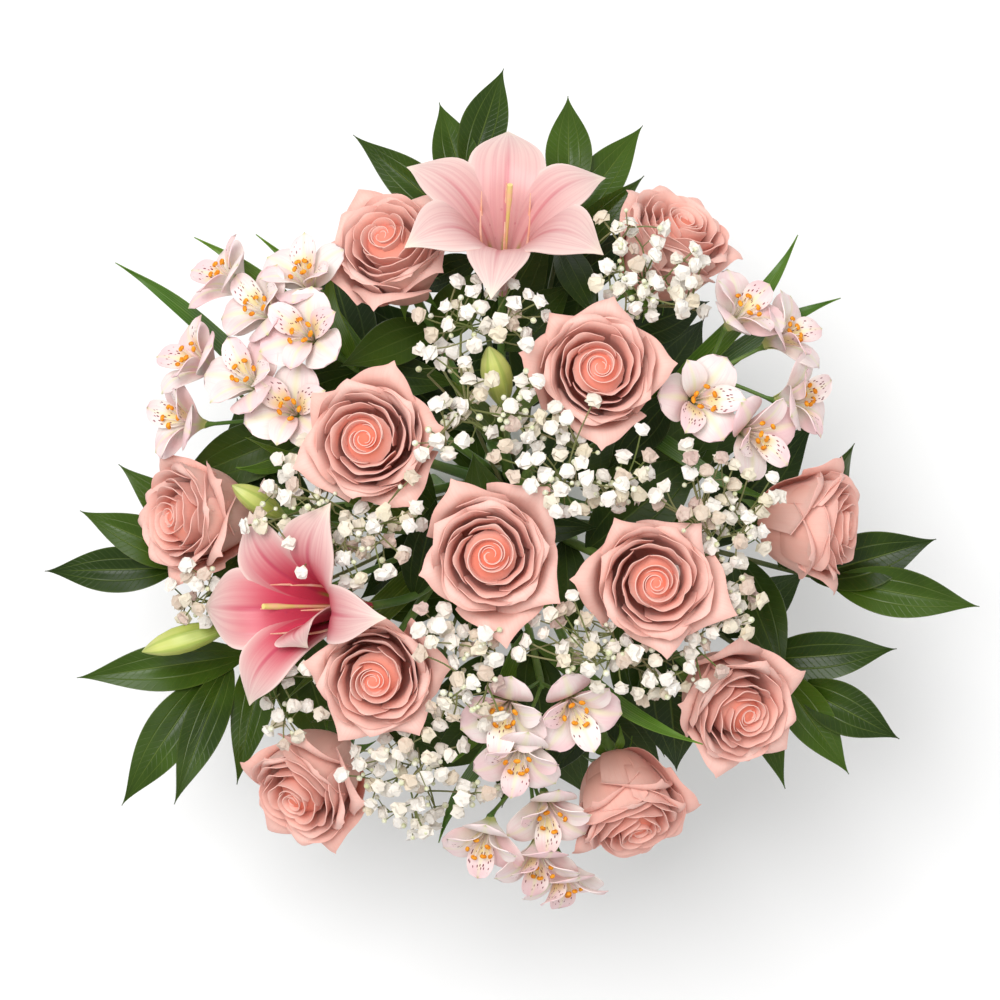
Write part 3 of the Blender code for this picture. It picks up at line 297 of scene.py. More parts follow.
def lily_threads():
    """Stamens and the style of a lily, as paths in its own space."""
    found = []
    for k in range(6):
        a = turn_of(60 * k + 30)
        foot = (3 * math.cos(a), 3 * math.sin(a), 9)
        found.append([foot, (15 * math.cos(a), 15 * math.sin(a) + 5, 64)])
    found.append([(0, 0, 4), (2, 8, 74)])
    return found


# lily stem: buds as (base, tip, thickness) and leaves as (place on the stem, tip, half width, arch)
LILY_EXTRAS = {
    "a": (
        (((2, 50, 322), (-6, 80, 350), 8.5),),
        ((0.55, (66, 112, 318), 8, 14), (0.45, (-28, 66, 300), 7, 10)),
    ),
    "b": (
        (((-117, -10, 290), (-144, 8, 306), 7.0), ((-150, -70, 262), (-198, -84, 262), 8.0)),
        ((0.5, (-138, 34, 292), 9, 14), (0.4, (-120, -112, 262), 8, 14)),
    ),
}


def leaf_surface(base, tip, half, arch, fold=0.35, roll=0.0):
    """A pointed leaf from base to tip that bows up by arch."""
    base, tip = np.asarray(base, float), np.asarray(tip, float)
    way = tip - base
    side = unit(np.cross(way, (0, 0, 1)))
    up = unit(np.cross(side, way))
    c, s = math.cos(roll), math.sin(roll)
    side, up = side * c + up * s, up * c - side * s

    def at(u, v):
        centre = base + way * v + np.array([0, 0, 4 * arch * v * (1 - v)])
        wide = half * (0.12 + 0.88 * math.sin(math.pi * v ** 0.8)) * (1 - v ** 6)
        return centre + side * (wide * u) + up * (wide * fold * abs(u))

    return at


# head: fork of the flower stalks, then the mouth of each flower; leaves as (place, tip, half width, arch)
ALSTROEMERIA = {
    "a": (
        (-125, 44, 258),
        ((-181, 44, 284), (-139, 68, 312), (-113, 50, 318), (-172, 80, 286)),
        ((0.86, (-214, 132, 252), 6.5, 10), (0.8, (-146, 18, 262), 5, 8)),
    ),
    "b": (
        (-104, 92, 264),
        ((-156, 126, 280), (-134, 106, 302), (-106, 90, 320), (-108, 126, 302)),
        ((0.78, (-170, 146, 254), 6, 12), (0.84, (-92, 128, 268), 5, 8), (0.7, (-136, 148, 250), 5, 8)),
    ),
    "c": (
        (110, 66, 262),
        ((134, 106, 304), (108, 54, 326), (142, 34, 312), (170, 56, 288), (162, 94, 286)),
        ((0.86, (164, 146, 268), 6, 12), (0.84, (189, 112, 256), 6, 8), (0.74, (150, 0, 290), 5, 10)),
    ),
    "d": (
        (22, -98, 272),
        ((2, -116, 334), (42, -114, 330), (10, -142, 322)),
        ((0.84, (108, -130, 318), 5, 12), (0.8, (-26, -142, 296), 5, 12)),
    ),
    "e": (
        (16, -146, 244),
        ((28, -176, 286), (-10, -192, 282), (22, -206, 272), (38, -220, 250)),
        ((0.84, (-34, -190, 258), 5, 12), (0.76, (58, -120, 256), 5, 6)),
    ),
}
MOUTH = 22.0  # base of a flower to its mouth


def alstroemeria_seat(fork, mouth):
    fork, mouth = np.asarray(fork, float), np.asarray(mouth, float)
    outward = np.array([mouth[0], mouth[1], 0.0]) * 0.004
    axis = unit(unit(mouth - fork) + np.array([0, 0, 0.5]) + outward)
    return Seat(mouth - axis * MOUTH, axis)


def on_path(path, place):
    spot = place * (len(path) - 1)
    k = min(int(spot), len(path) - 2)
    return path[k] + (path[k + 1] - path[k]) * (spot - k)


# branch: end of the twig, then leaves as (place on the twig, tip, half width, arch)
BRANCHES = {
    "a": (
        (-18, 178, 258),
        ((0.86, (-82, 204, 246), 13, 8), (0.94, (-34, 222, 246), 13, 8), (1.0, (2, 242, 240), 13, 8)),
    ),
    "b": (
        (38, 164, 256),
        ((1.0, (38, 226, 244), 13, 8), (0.93, (80, 210, 240), 13, 8), (0.84, (80, 180, 256), 10, 8)),
    ),
    "c": (
        (-182, -38, 236),
        ((0.87, (-214, 20, 240), 13, 8), (0.94, (-235, -6, 244), 13, 9), (1.0, (-256, -40, 236), 13, 8)),
    ),
    "d": (
        (-165, -100, 232),
        (
            (0.9, (-238, -100, 236), 14, 9),
            (1.0, (-213, -172, 234), 14, 9),
            (0.94, (-182, -170, 246), 12, 7),
            (0.84, (-148, -160, 236), 12, 7),
        ),
    ),
    "e": (
        (188, -46, 222),
        ((0.88, (200, 32, 232), 14, 5), (0.95, (246, -22, 232), 16, 5), (1.0, (270, -60, 234), 14, 7)),
    ),
    "f": (
        (168, -104, 232),
        (
            (1.0, (224, -134, 240), 14, 8),
            (0.94, (196, -154, 238), 13, 8),
            (0.84, (160, -162, 240), 12, 7),
            (0.9, (224, -84, 230), 14, 7),
        ),
    ),
    "g": (
        (-56, -112, 256),
        ((0.9, (-104, -122, 278), 11, 6), (1.0, (-56, -134, 282), 11, 6), (0.84, (-22, -96, 276), 9, 6)),
    ),
}


def inner_leaves(paths, tree):
    """Broad leaves on the flower stems, set by rule in the gaps between the heads."""
    dice = random.Random("inner leaves")
    hearts = [ROSES[key][0][:2] for key in ROSES]
    middles = []
    spots = []
    found = {key: [] for key in paths}
    keys = [key for key in paths if key[0] in ("rose", "alstroemeria", "lily")]
    for _ in range(2600):
        key = dice.choice(keys)
        place = dice.uniform(0.5, 0.86)
        base = on_path(paths[key], place)
        turn = dice.uniform(0, 2 * math.pi)
        long = dice.uniform(44, 62)
        rise = dice.uniform(-6, 24)
        tip = base + np.array([math.cos(turn) * long, math.sin(turn) * long, rise])
        half = dice.uniform(11, 14)
        if len(found[key]) > 1 or np.hypot(*tip[:2]) > 190 or tip[2] < 215:
            continue
        middle = base[:2] + (tip - base)[:2] * 0.55
        if any(np.hypot(*(middle - other)) < 30 for other in hearts + middles):
            continue
        surface = leaf_surface(base, tip, half, 8, 0.3)
        sample = [surface(u, v / 10) for u in (-1, -0.5, 0, 0.5, 1) for v in range(3, 11)]
        if any(tree.find(Vector(p))[2] < 5.0 for p in sample):
            continue
        if any(np.linalg.norm(p - q) < 6.5 for p in sample for q in spots):
            continue
        found[key].append((place, tuple(tip), half, 8))
        middles.append(middle)
        spots += [surface(u, v / 14) for u in (-1, -0.5, 0, 0.5, 1) for v in range(15)]
        if len(middles) == INNER_LEAVES:
            break
    return found, spots


def leaves_on(kind, key):
    """All the broad leaves of one flower stem."""
    return inner[kind, key] + list(LOW_LEAVES.get((kind, key), ()))


# spray: fork, then patches of florets as (x, y, half width, half depth, lift, clusters)
BREATH = {
    "a": ((-14, 42, 256), ((-10, 60, 38, 42, -4, 11),)),
    "b": ((40, 8, 268), ((48, 16, 30, 26, -4, 6),)),
    "c": ((112, -22, 250), ((108, -30, 32, 42, 0, 9),)),
    "d": ((64, 104, 250), ((78, 122, 30, 26, 14, 8),)),
    "e": ((-98, -16, 262), ((-86, -8, 42, 42, -4, 9),)),
    "f": ((60, -88, 262), ((74, -82, 42, 20, 0, 6),)),
    "g": ((-20, -84, 270), ((-20, -94, 18, 40, 0, 6),)),
    "h": ((-48, -132, 240), ((-42, -158, 38, 28, -8, 7),)),
    "i": ((-138, -64, 240), ((-160, -54, 22, 16, -8, 3), (-112, -110, 14, 20, -6, 2))),
}


def dome(x, y):
    """Height of the flower heads over a place."""
    return 135 + math.sqrt(max(240.0 ** 2 - x * x - y * y, 900.0))


def taken_points(paths):
    """Points all over the flowers, leaves and stems that the sprays have to miss."""
    found = []
    fine = [k / 4 for k in range(-4, 5)]
    coarse = (-1, -0.5, 0, 0.5, 1)
    for key in ROSES:
        seat = rose_seat(key)
        middle, spread = rose_petals(key, ROSES[key][3])
        for _, surface in middle + spread:
            found += [seat.out(*surface(u, v / 12)) for u in fine for v in range(1, 13)]
        for z in range(0, 58, 6):
            for k in range(8):
                a = math.pi * k / 4
                found.append(seat.out(10 * math.cos(a), 10 * math.sin(a), z))
        found += [seat.out(0, 0, z) for z in range(0, 58, 6)]
    for key in LILIES:
        seat = lily_seat(key)
        for direction, reach, half in LILIES[key][3]:
            surface = lily_petal(turn_of(direction), reach, half)
            found += [seat.out(*surface(u, v / 24)) for u in fine for v in range(1, 25)]
        for foot, end in lily_threads():
            found += [seat.out(*(np.array(foot) + (np.array(end) - foot) * t / 5)) for t in range(6)]
        for base, tip, thick in LILY_EXTRAS[key][0]:
            base, tip = np.array(base, float), np.array(tip, float)
            side = unit(np.cross(tip - base, (0, 0, 1)))
            up = unit(np.cross(side, tip - base))
            for t in (0, 0.2, 0.4, 0.6, 0.8, 1):
                for k in range(6):
                    a = math.pi * k / 3
                    away = side * math.cos(a) + up * math.sin(a)
                    found.append(base + (tip - base) * t + away * thick * 0.8)
            start = paths["lily", key][3]
            found += [start + (base - start) * t / 20 for t in range(21)]
    for key in ALSTROEMERIA:
        fork = np.array(ALSTROEMERIA[key][0], float)
        for mouth in ALSTROEMERIA[key][1]:
            seat = alstroemeria_seat(fork, mouth)
            for k in range(18):
                a = math.pi * k / 9
                for rho, z in ((3, 4), (7, 12), (11, 16), (16, 19), (21, 21), (26, 23)):
                    found.append(seat.out(rho * math.cos(a), rho * math.sin(a), z))
            found += [fork + (seat.base - fork) * t / 10 for t in range(11)]
    for kind, leaves in (("lily", LILY_EXTRAS), ("alstroemeria", ALSTROEMERIA), ("branch", BRANCHES)):
        for key in leaves:
            path = paths[kind, key]
            for place, tip, half, arch in leaves[key][-1]:
                surface = leaf_surface(on_path(path, place), tip, half, arch)
                found += [surface(u, v / 20) for u in coarse for v in range(21)]
    for path in (paths[key] for key in paths if key[0] != "breath"):
        for a, b in zip(path[1:], path[2:]):
            long = np.linalg.norm(b - a)
            found += [a + (b - a) * t / long for t in np.arange(0, long, 3)]
    return found


def tree_of(points):
    tree = KDTree(len(points))
    for k, point in enumerate(points):
        tree.insert(Vector(point), k)
    tree.balance()
    return tree


class Spray:
    """Twigs and florets that grow through the free space between the flowers."""

    def __init__(self, key, path, tree, others):
        self.dice = random.Random("breath " + key)
        self.tree = tree
        self.others = np.array([o for o, _ in others])
        self.rooms = np.array([r for _, r in others])
        self.fork = path[-1]
        self.twigs = []
        self.florets = []
        self.knots = [on_path(path, place) for place in (0.8, 0.84, 0.88, 0.92, 0.96, 1.0)] * 2
        self.grow(BREATH[key][1])

    def free(self, point, room):
        if self.tree.find(Vector(point))[2] < room:
            return False
        return bool((np.linalg.norm(self.others - point, axis=1) > room + self.rooms).all())

    def clear(self, a, b, skip):
        long = np.linalg.norm(b - a)
        steps = max(2, int(long / 2.5))
        for k in range(1, steps + 1):
            if long * k / steps < skip:
                continue
            if not self.free(a + (b - a) * k / steps, 4.4):
                return False
        return True

    def reach(self, target):
        """A way from a knot of this spray to the target, straight or with one bend."""

        def cost(knot):
            return np.linalg.norm(knot - target) + 0.6 * max(0.0, knot[2] - target[2] + 12)

        near = sorted(self.knots, key=cost)
        for knot in near[:10]:
            far = np.linalg.norm(target - knot)
            if far < 9 or far > 120 or target[2] < knot[2] - 4:
                continue
            if self.clear(knot, target, 2.0):
                return [knot, target]
            for _ in range(10):
                way = (knot + target) / 2
                way = way + np.array([self.dice.uniform(-1, 1) for _ in range(3)]) * far * 0.3
                if self.clear(knot, way, 2.0) and self.clear(way, target, 0.0):
                    return [knot, way, target]
        return None

    def grow(self, patches):
        for x, y, wide, deep, lift, clusters in patches:
            done = 0
            for _ in range(clusters * 14):
                if done == clusters:
                    break
                a = self.dice.uniform(0, 2 * math.pi)
                r = math.sqrt(self.dice.random())
                px, py = x + wide * r * math.cos(a), y + deep * r * math.sin(a)
                target = np.array([px, py, dome(px, py) + lift + self.dice.uniform(-22, 8)])
                if not self.free(target, 7.0):
                    continue
                if any(np.linalg.norm(f[1] - target) < 13 for f in self.florets):
                    continue
                way = self.reach(target)
                if way is None:
                    continue
                done += 1
                for a1, b1 in zip(way[:-1], way[1:-1]):
                    self.twigs.append((a1, b1))
                used = next(n for n, k in enumerate(self.knots) if k is way[0])
                self.knots.pop(used)
                neck = self.cluster(way[-2], target)
                self.knots += way[1:-1] + [way[-2] + (neck - way[-2]) * t for t in (0.3, 0.5)]

    def cluster(self, foot, centre):
        """A floret on its stalk, with up to two more beside it."""
        axis = unit(unit(centre - foot) + np.array([0, 0, 0.8]))
        neck = centre - axis * 0.42 * FLORET
        self.florets.append((foot, centre, axis))
        for place in (0.62, 0.76)[: self.dice.choice((0, 1, 1, 2))]:
            for _ in range(8):
                side = np.array([self.dice.uniform(-1, 1) for _ in range(3)])
                side = unit(side - axis * side.dot(axis) * 0.6)
                spot = centre + side * 10.5
                near = min(np.linalg.norm(f[1] - spot) for f in self.florets)
                if near > 9.8 and self.free(spot, 7.0):
                    start = foot + (neck - foot) * place
                    self.florets.append((start, spot, unit(axis + side * 0.7)))
                    break
        return neck

    def spots(self):
        """What the next sprays have to miss."""
        found = [(f[1], FLORET) for f in self.florets]
        for a, b in self.twigs + [f[:2] for f in self.florets]:
            steps = max(1, int(np.linalg.norm(b - a) / 3))
            found += [(a + (b - a) * k / steps, 0.0) for k in range(steps + 1)]
        return found


def waist_wish(radius, base):
    h = base[2] - WAIST
    a = math.atan2(base[1], base[0]) - math.atan(SPIN * h)
    far = math.hypot(base[0], base[1]) * 0.12 + 1
    return radius, far * math.cos(a), far * math.sin(a)


def path_of(kind, key, p):
    """The whole way of one stem from its cut end."""
    if kind == "rose":
        seat = rose_seat(key)
        return stem_path(p, seat.out(0, 0, -6), seat.z)
    if kind == "lily":
        seat = lily_seat(key)
        return stem_path(p, seat.out(0, 0, -GAP), seat.z, 6)
    if kind == "alstroemeria":
        fork = np.array(ALSTROEMERIA[key][0], float)
        return stem_path(p, fork, (fork[0] * 0.004, fork[1] * 0.004, 1))
    if kind == "branch":
        end = np.array(BRANCHES[key][0], float)
        return stem_path(p, end, unit((end[0], end[1], 0)) + np.array([0, 0, 0.55]), 6, 0.4)
    fork = np.array(BREATH[key][0], float)
    return stem_path(p, fork, (fork[0] * 0.003, fork[1] * 0.003, 1), 4)


def part_paths(paths, radii):
    """Bends the upper stems apart where two would touch."""
    keys = list(paths)
    steps = np.arange(12) / 12.0
    for _ in range(120):
        spots, owner, where = [], [], []
        for n, key in enumerate(keys):
            path = paths[key]
            for k in range(1, len(path) - 1):
                for t in steps:
                    spots.append(path[k] + (path[k + 1] - path[k]) * t)
                    owner.append(n)
                    where.append(k + t)
        spots = np.array(spots)
        owner = np.array(owner)
        where = np.array(where)
        size = np.array([radii[keys[n]] for n in owner])
        far = np.linalg.norm(spots[:, None] - spots[None], axis=2)
        need = size[:, None] + size[None] + 1.1 - far
        need[owner[:, None] >= owner[None]] = 0
        need[np.minimum(where[:, None], where[None]) < 1.1] = 0
        if need.max() < 0.05:
            break
        worst = {}
        for i, j in zip(*np.nonzero(need > 0)):
            pair = owner[i], owner[j]
            if pair not in worst or need[i, j] > need[worst[pair]]:
                worst[pair] = (i, j)
        for i, j in worst.values():
            push = unit(spots[i] - spots[j]) * need[i, j] * 0.6
            for n, way in ((i, push), (j, -push)):
                path = paths[keys[owner[n]]]
                k = int(where[n])
                t = where[n] - k
                shares = [(k, 1 - t), (k + 1, t)]
                shares = [(m, share) for m, share in shares if 2 <= m <= len(path) - 2]
                whole = sum(share * share for _, share in shares)
                for m, share in shares:
                    if whole > 0.01:
                        path[m] = path[m] + way * share / max(whole, 0.1) * 0.7


TIE_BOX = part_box("tie")
MOVE_X = (TIE_BOX[0].x + TIE_BOX[1].x) * 500
MOVE_Y = (TIE_BOX[0].y + TIE_BOX[1].y) * 500


def place(p):
    """A point from the tie's axis, in millimetres, to the frame, in metres."""
    return (p[0] + MOVE_X) * 0.001, (p[1] + MOVE_Y) * 0.001, p[2] * 0.001


ROUND = 6.2832  # radians of a whole turn, for waves in a finish


class Finish:
    """A procedural material, put together node by node."""

    def __init__(self, name, rough=0.5, specular=0.5, **sockets):
        self.made = bpy.data.materials.new(name)
        self.made.use_nodes = True
        self.tree = self.made.node_tree
        self.shader = self.tree.nodes["Principled BSDF"]
        self.shader.inputs["Roughness"].default_value = rough
        self.shader.inputs["Specular IOR Level"].default_value = specular
        for socket, value in sockets.items():
            self.shader.inputs[socket.replace("_", " ")].default_value = value

    def node(self, kind, **settings):
        found = self.tree.nodes.new(kind)
        for key, value in settings.items():
            setattr(found, key, value)
        return found

    def give(self, socket, value):
        if isinstance(value, bpy.types.NodeSocket):
            self.tree.links.new(value, socket)
        else:
            socket.default_value = value

    def math(self, operation, a, b=0.0, clamp=False):
        found = self.node("ShaderNodeMath", operation=operation, use_clamp=clamp)
        self.give(found.inputs[0], a)
        self.give(found.inputs[1], b)
        return found.outputs[0]

    def times(self, a, b, *more):
        found = self.math("MULTIPLY", a, b)
        for value in more:
            found = self.math("MULTIPLY", found, value)
        return found

    def plus(self, a, b):
        return self.math("ADD", a, b)

    def minus(self, a, b):
        return self.math("SUBTRACT", a, b)

    def mix(self, share, a, b):
        found = self.node("ShaderNodeMix", data_type="RGBA")
        self.give(found.inputs[0], share)
        for socket, value in ((found.inputs[6], a), (found.inputs[7], b)):
            self.give(socket, (*value, 1) if isinstance(value, tuple) else value)
        return found.outputs[2]

    def fade(self, value, start, end, low=0.0, high=1.0):
        """low up to start, high from end on, and a smooth change between."""
        found = self.node("ShaderNodeMapRange", interpolation_type="SMOOTHSTEP")
        for socket, given in zip(found.inputs, (value, start, end, low, high)):
            self.give(socket, given)
        return found.outputs[0]

    def ramp(self, value, *stops):
        found = self.node("ShaderNodeValToRGB")
        band = found.color_ramp
        band.elements[0].position, band.elements[0].color = stops[0][0], (*stops[0][1], 1)
        band.elements[1].position, band.elements[1].color = stops[-1][0], (*stops[-1][1], 1)
        for spot, colour in stops[1:-1]:
            band.elements.new(spot).color = (*colour, 1)
        self.give(found.inputs[0], value)
        return found.outputs[0]

    def map_of(self, name):
        """The two numbers of a piece's UV map."""
        found = self.node("ShaderNodeUVMap", uv_map=name)
        parts = self.node("ShaderNodeSeparateXYZ")
        self.give(parts.inputs[0], found.outputs[0])
        return parts.outputs[0], parts.outputs[1]

    def stretched(self, x, y, by_x, by_y, z=0.0):
        found = self.node("ShaderNodeCombineXYZ")
        self.give(found.inputs[0], self.times(x, by_x))
        self.give(found.inputs[1], self.times(y, by_y))
        self.give(found.inputs[2], z)
        return found.outputs[0]

    def on_object(self):
        return self.node("ShaderNodeTexCoord").outputs["Object"]

    def noise(self, spot, scale, detail=2.0):
        found = self.node("ShaderNodeTexNoise")
        self.give(found.inputs["Vector"], spot)
        found.inputs["Scale"].default_value = scale
        found.inputs["Detail"].default_value = detail
        return found.outputs[0]

    def cells(self, spot, scale):
        found = self.node("ShaderNodeTexVoronoi")
        self.give(found.inputs["Vector"], spot)
        found.inputs["Scale"].default_value = scale
        return found.outputs["Distance"]

    def colour(self, value):
        self.give(self.shader.inputs["Base Color"], value)

    def bump(self, height, strength, far):
        found = self.node("ShaderNodeBump")
        found.inputs["Strength"].default_value = strength
        found.inputs["Distance"].default_value = far
        self.give(found.inputs["Height"], height)
        self.give(self.shader.inputs["Normal"], found.outputs[0])

    def thin(self, share, colour):
        """Lets a share of the light through, as a petal does."""
        through = self.node("ShaderNodeBsdfTranslucent")
        self.give(through.inputs["Color"], (*colour, 1))
        both = self.node("ShaderNodeMixShader")
        both.inputs[0].default_value = share
        self.give(both.inputs[1], self.shader.outputs[0])
        self.give(both.inputs[2], through.outputs[0])
        self.give(self.tree.nodes["Material Output"].inputs["Surface"], both.outputs[0])

    def from_middle(self, u):
        """0 on the middle line of a petal or leaf, 1 on its edges."""
        return self.math("ABSOLUTE", self.minus(self.times(u, 2.0), 1.0))


def rose_finish():
    f = Finish("Rose petal", 0.55, 0.25, Sheen_Weight=0.12, Sheen_Roughness=0.5)
    u, v = f.map_of("UVMap")
    rank, tone = f.map_of("Mark")
    outer = f.ramp(
        v,
        (0.2, (0.94, 0.44, 0.34)),
        (0.6, (0.96, 0.61, 0.52)),
        (0.85, (0.97, 0.7, 0.62)),
        (1.0, (0.96, 0.62, 0.54)),
    )
    inner = f.ramp(
        v,
        (0.3, (0.92, 0.22, 0.13)),
        (0.7, (0.95, 0.38, 0.27)),
        (0.9, (0.97, 0.54, 0.44)),
        (1.0, (0.98, 0.7, 0.61)),
    )
    body = f.mix(f.fade(rank, 0.3, 0.95), outer, inner)
    cloud = f.noise(f.on_object(), 45.0)
    body = f.mix(f.fade(cloud, 0.4, 0.75, 0.0, 0.35), body, (0.96, 0.66, 0.58))
    body = f.mix(f.fade(tone, 0.0, 1.0, 0.0, 0.22), body, (0.94, 0.44, 0.34))
    veins = f.noise(f.stretched(u, v, 46.0, 3.5, rank), 1.0, 3.0)
    f.colour(f.mix(f.fade(veins, 0.45, 0.7, 0.0, 0.14), body, (0.88, 0.34, 0.26)))
    f.thin(0.24, (0.95, 0.48, 0.38))
    f.bump(veins, 0.25, 0.0004)
    return f.made


def lily_finish():
    f = Finish("Lily petal", 0.42, 0.35)
    u, v = f.map_of("UVMap")
    depth, tone = f.map_of("Mark")
    aside = f.from_middle(u)
    streak = f.noise(f.stretched(u, v, 26.0, 1.4, tone), 1.0, 3.0)
    ragged = f.plus(aside, f.times(f.minus(streak, 0.5), 0.5))
    strength = f.times(f.fade(v, 0.45, 1.0, 1.0, 0.0), f.fade(ragged, 0.45, 1.15, 1.0, 0.2))
    strength = f.math("MULTIPLY", strength, depth, clamp=True)
    pale = f.mix(f.fade(streak, 0.35, 0.7), (0.74, 0.56, 0.51), (0.66, 0.44, 0.42))
    body = f.mix(strength, pale, (0.55, 0.045, 0.09))
    rib = f.times(f.fade(aside, 0.02, 0.12, 1.0, 0.0), f.fade(v, 0.6, 0.95, 0.75, 0.0))
    body = f.mix(f.times(rib, f.fade(depth, 0.0, 1.0, 0.3, 1.0)), body, (0.48, 0.04, 0.09))
    body = f.mix(f.fade(aside, 0.86, 1.0, 0.0, 0.55), body, (0.84, 0.66, 0.6))
    body = f.mix(f.times(f.fade(v, 0.9, 1.0), 0.5), body, (0.86, 0.78, 0.6))
    furrow = f.times(f.fade(aside, 0.05, 0.2, 1.0, 0.0), f.fade(v, 0.22, 0.32, 0.95, 0.0))
    body = f.mix(furrow, body, (0.3, 0.36, 0.05))
    dots = f.fade(f.cells(f.stretched(u, v, 9.0, 22.0), 1.0), 0.12, 0.2, 1.0, 0.0)
    zone = f.times(f.fade(v, 0.2, 0.3), f.fade(v, 0.42, 0.55, 1.0, 0.0))
    dots = f.times(dots, zone, f.fade(aside, 0.4, 0.7, 0.3, 0.0))
    f.colour(f.mix(dots, body, (0.4, 0.03, 0.1)))
    f.bump(f.plus(streak, dots), 0.3, 0.0005)
    return f.made


def alstroemeria_finish():
    f = Finish("Alstroemeria petal", 0.45, 0.3)
    u, v = f.map_of("UVMap")
    kind, tone = f.map_of("Mark")
    aside = f.from_middle(u)
    blush = f.plus(f.noise(f.on_object(), 50.0), f.times(f.minus(tone, 0.5), 0.25))
    body = f.mix(f.fade(blush, 0.35, 0.68), (0.86, 0.79, 0.74), (0.85, 0.6, 0.6))
    body = f.mix(f.times(f.fade(v, 0.6, 1.0), 0.35), body, (0.82, 0.52, 0.56))
    lines = f.noise(f.stretched(u, v, 34.0, 2.0), 1.0, 2.0)
    body = f.mix(f.fade(lines, 0.5, 0.72, 0.0, 0.25), body, (0.78, 0.46, 0.5))
    rib = f.times(f.fade(aside, 0.0, 0.25, 0.6, 0.0), f.fade(v, 0.95, 0.4, 0.5, 1.0))
    body = f.mix(rib, body, (0.8, 0.8, 0.42))
    tip = f.times(f.fade(v, 0.93, 1.0), f.fade(aside, 0.1, 0.6, 0.9, 0.0))
    body = f.mix(tip, body, (0.45, 0.5, 0.12))
    body = f.mix(f.fade(v, 0.08, 0.3, 0.9, 0.0), body, (0.42, 0.46, 0.12))
    marked = f.fade(kind, 0.7, 0.8)
    yellow = f.times(f.fade(v, 0.3, 0.42), f.fade(v, 0.5, 0.7, 1.0, 0.0))
    yellow = f.times(yellow, f.fade(aside, 0.5, 1.0, 0.6, 0.0), marked)
    body = f.mix(yellow, body, (0.85, 0.66, 0.2))
    dashes = f.fade(f.cells(f.stretched(u, v, 11.0, 9.0, tone), 1.0), 0.2, 0.28, 1.0, 0.0)
    zone = f.times(f.fade(v, 0.36, 0.42), f.fade(v, 0.78, 0.88, 1.0, 0.0))
    body = f.mix(f.times(dashes, zone, marked), body, (0.16, 0.012, 0.03))
    f.colour(body)
    f.bump(lines, 0.25, 0.0004)
    return f.made


def leaf_finish(name, dark, light, vein, rough, specular, veins):
    """A leaf with a midrib and fine veins that run along it."""
    f = Finish(name, rough, specular)
    u, v = f.map_of("UVMap")
    _, tone = f.map_of("Mark")
    aside = f.from_middle(u)
    cloud = f.noise(f.on_object(), 28.0, 3.0)
    shade = f.plus(f.times(cloud, 0.7), f.times(tone, 0.4))
    body = f.mix(f.fade(shade, 0.3, 0.8), dark, light)
    rib = f.times(f.fade(aside, 0.0, 0.055, 1.0, 0.0), f.fade(v, 0.6, 1.0, 1.0, 0.3))
    if veins == 3:
        side = f.math("ABSOLUTE", f.minus(aside, 0.48))
        lines = f.fade(side, 0.0, 0.045, 0.7, 0.0)
        slant = f.plus(f.times(v, 20.0), f.times(aside, -3.0))
        fine = f.math("FRACT", slant)
        fine = f.fade(f.math("ABSOLUTE", f.minus(fine, 0.5)), 0.0, 0.1, 0.22, 0.0)
        lines = f.math("MAXIMUM", lines, fine)
    else:
        wave = f.math("SINE", f.times(u, ROUND * veins))
        lines = f.fade(wave, 0.3, 1.0, 0.0, 0.3)
    veined = f.math("MAXIMUM", rib, lines)
    body = f.mix(f.times(veined, 0.6), body, vein)
    f.colour(f.mix(f.fade(aside, 0.93, 1.0, 0.0, 0.3), body, vein))
    f.bump(f.minus(f.times(cloud, 0.4), veined), 0.5, 0.0006)
    return f.made


def stem_finish(name, low, high, rough=0.45):
    f = Finish(name, rough, 0.4)
    spot = f.on_object()
    cloud = f.noise(spot, 40.0, 3.0)
    body = f.mix(f.fade(cloud, 0.3, 0.7), low, high)
    specks = f.noise(spot, 700.0)
    f.colour(f.mix(f.fade(specks, 0.62, 0.75, 0.0, 0.4), body, (0.3, 0.3, 0.14)))
    f.bump(specks, 0.2, 0.0003)
    return f.made


def bud_finish():
    f = Finish("Lily bud", 0.4, 0.4)
    u, v = f.map_of("UVMap")
    ridge = f.math("COSINE", f.times(u, ROUND * 6))
    streak = f.noise(f.stretched(u, v, 40.0, 2.0), 1.0, 3.0)
    body = f.ramp(
        v,
        (0.0, (0.22, 0.32, 0.05)),
        (0.35, (0.42, 0.5, 0.09)),
        (0.8, (0.56, 0.6, 0.16)),
        (1.0, (0.4, 0.42, 0.12)),
    )
    body = f.mix(f.fade(ridge, 0.3, 1.0, 0.0, 0.45), body, (0.2, 0.32, 0.04))
    f.colour(f.mix(f.fade(streak, 0.45, 0.7, 0.0, 0.3), body, (0.62, 0.62, 0.25)))
    f.bump(f.plus(ridge, streak), 0.25, 0.0005)
    return f.made


def floret_finish():
    f = Finish("Baby's breath floret", 0.65, 0.2)
    tone, high = f.map_of("Mark")
    # tones run at random from white through cream to a greyish pink: the cream is the florets' own colour,
    # the greyish pink is painted shade, laid on a few florets at random
    body = f.ramp(
        tone,
        (0.0, (0.83, 0.79, 0.74)),
        (0.6, (0.79, 0.73, 0.65)),
        (0.78, (0.72, 0.64, 0.48)),
        (1.0, (0.54, 0.38, 0.34)),
    )
    body = f.mix(f.fade(high, 0.0, 0.55, 0.75, 0.0), body, (0.42, 0.42, 0.16))
    fine = f.noise(f.on_object(), 700.0, 3.0)
    f.colour(f.mix(f.fade(fine, 0.45, 0.7, 0.0, 0.35), body, (0.72, 0.66, 0.55)))
    f.bump(fine, 0.5, 0.0005)
    return f.made


def plain_finish(name, one, other, scale, rough=0.5, specular=0.4):
    f = Finish(name, rough, specular)
    cloud = f.noise(f.on_object(), scale, 3.0)
    f.colour(f.mix(f.fade(cloud, 0.35, 0.65), one, other))
    f.bump(cloud, 0.2, 0.0003)
    return f.made


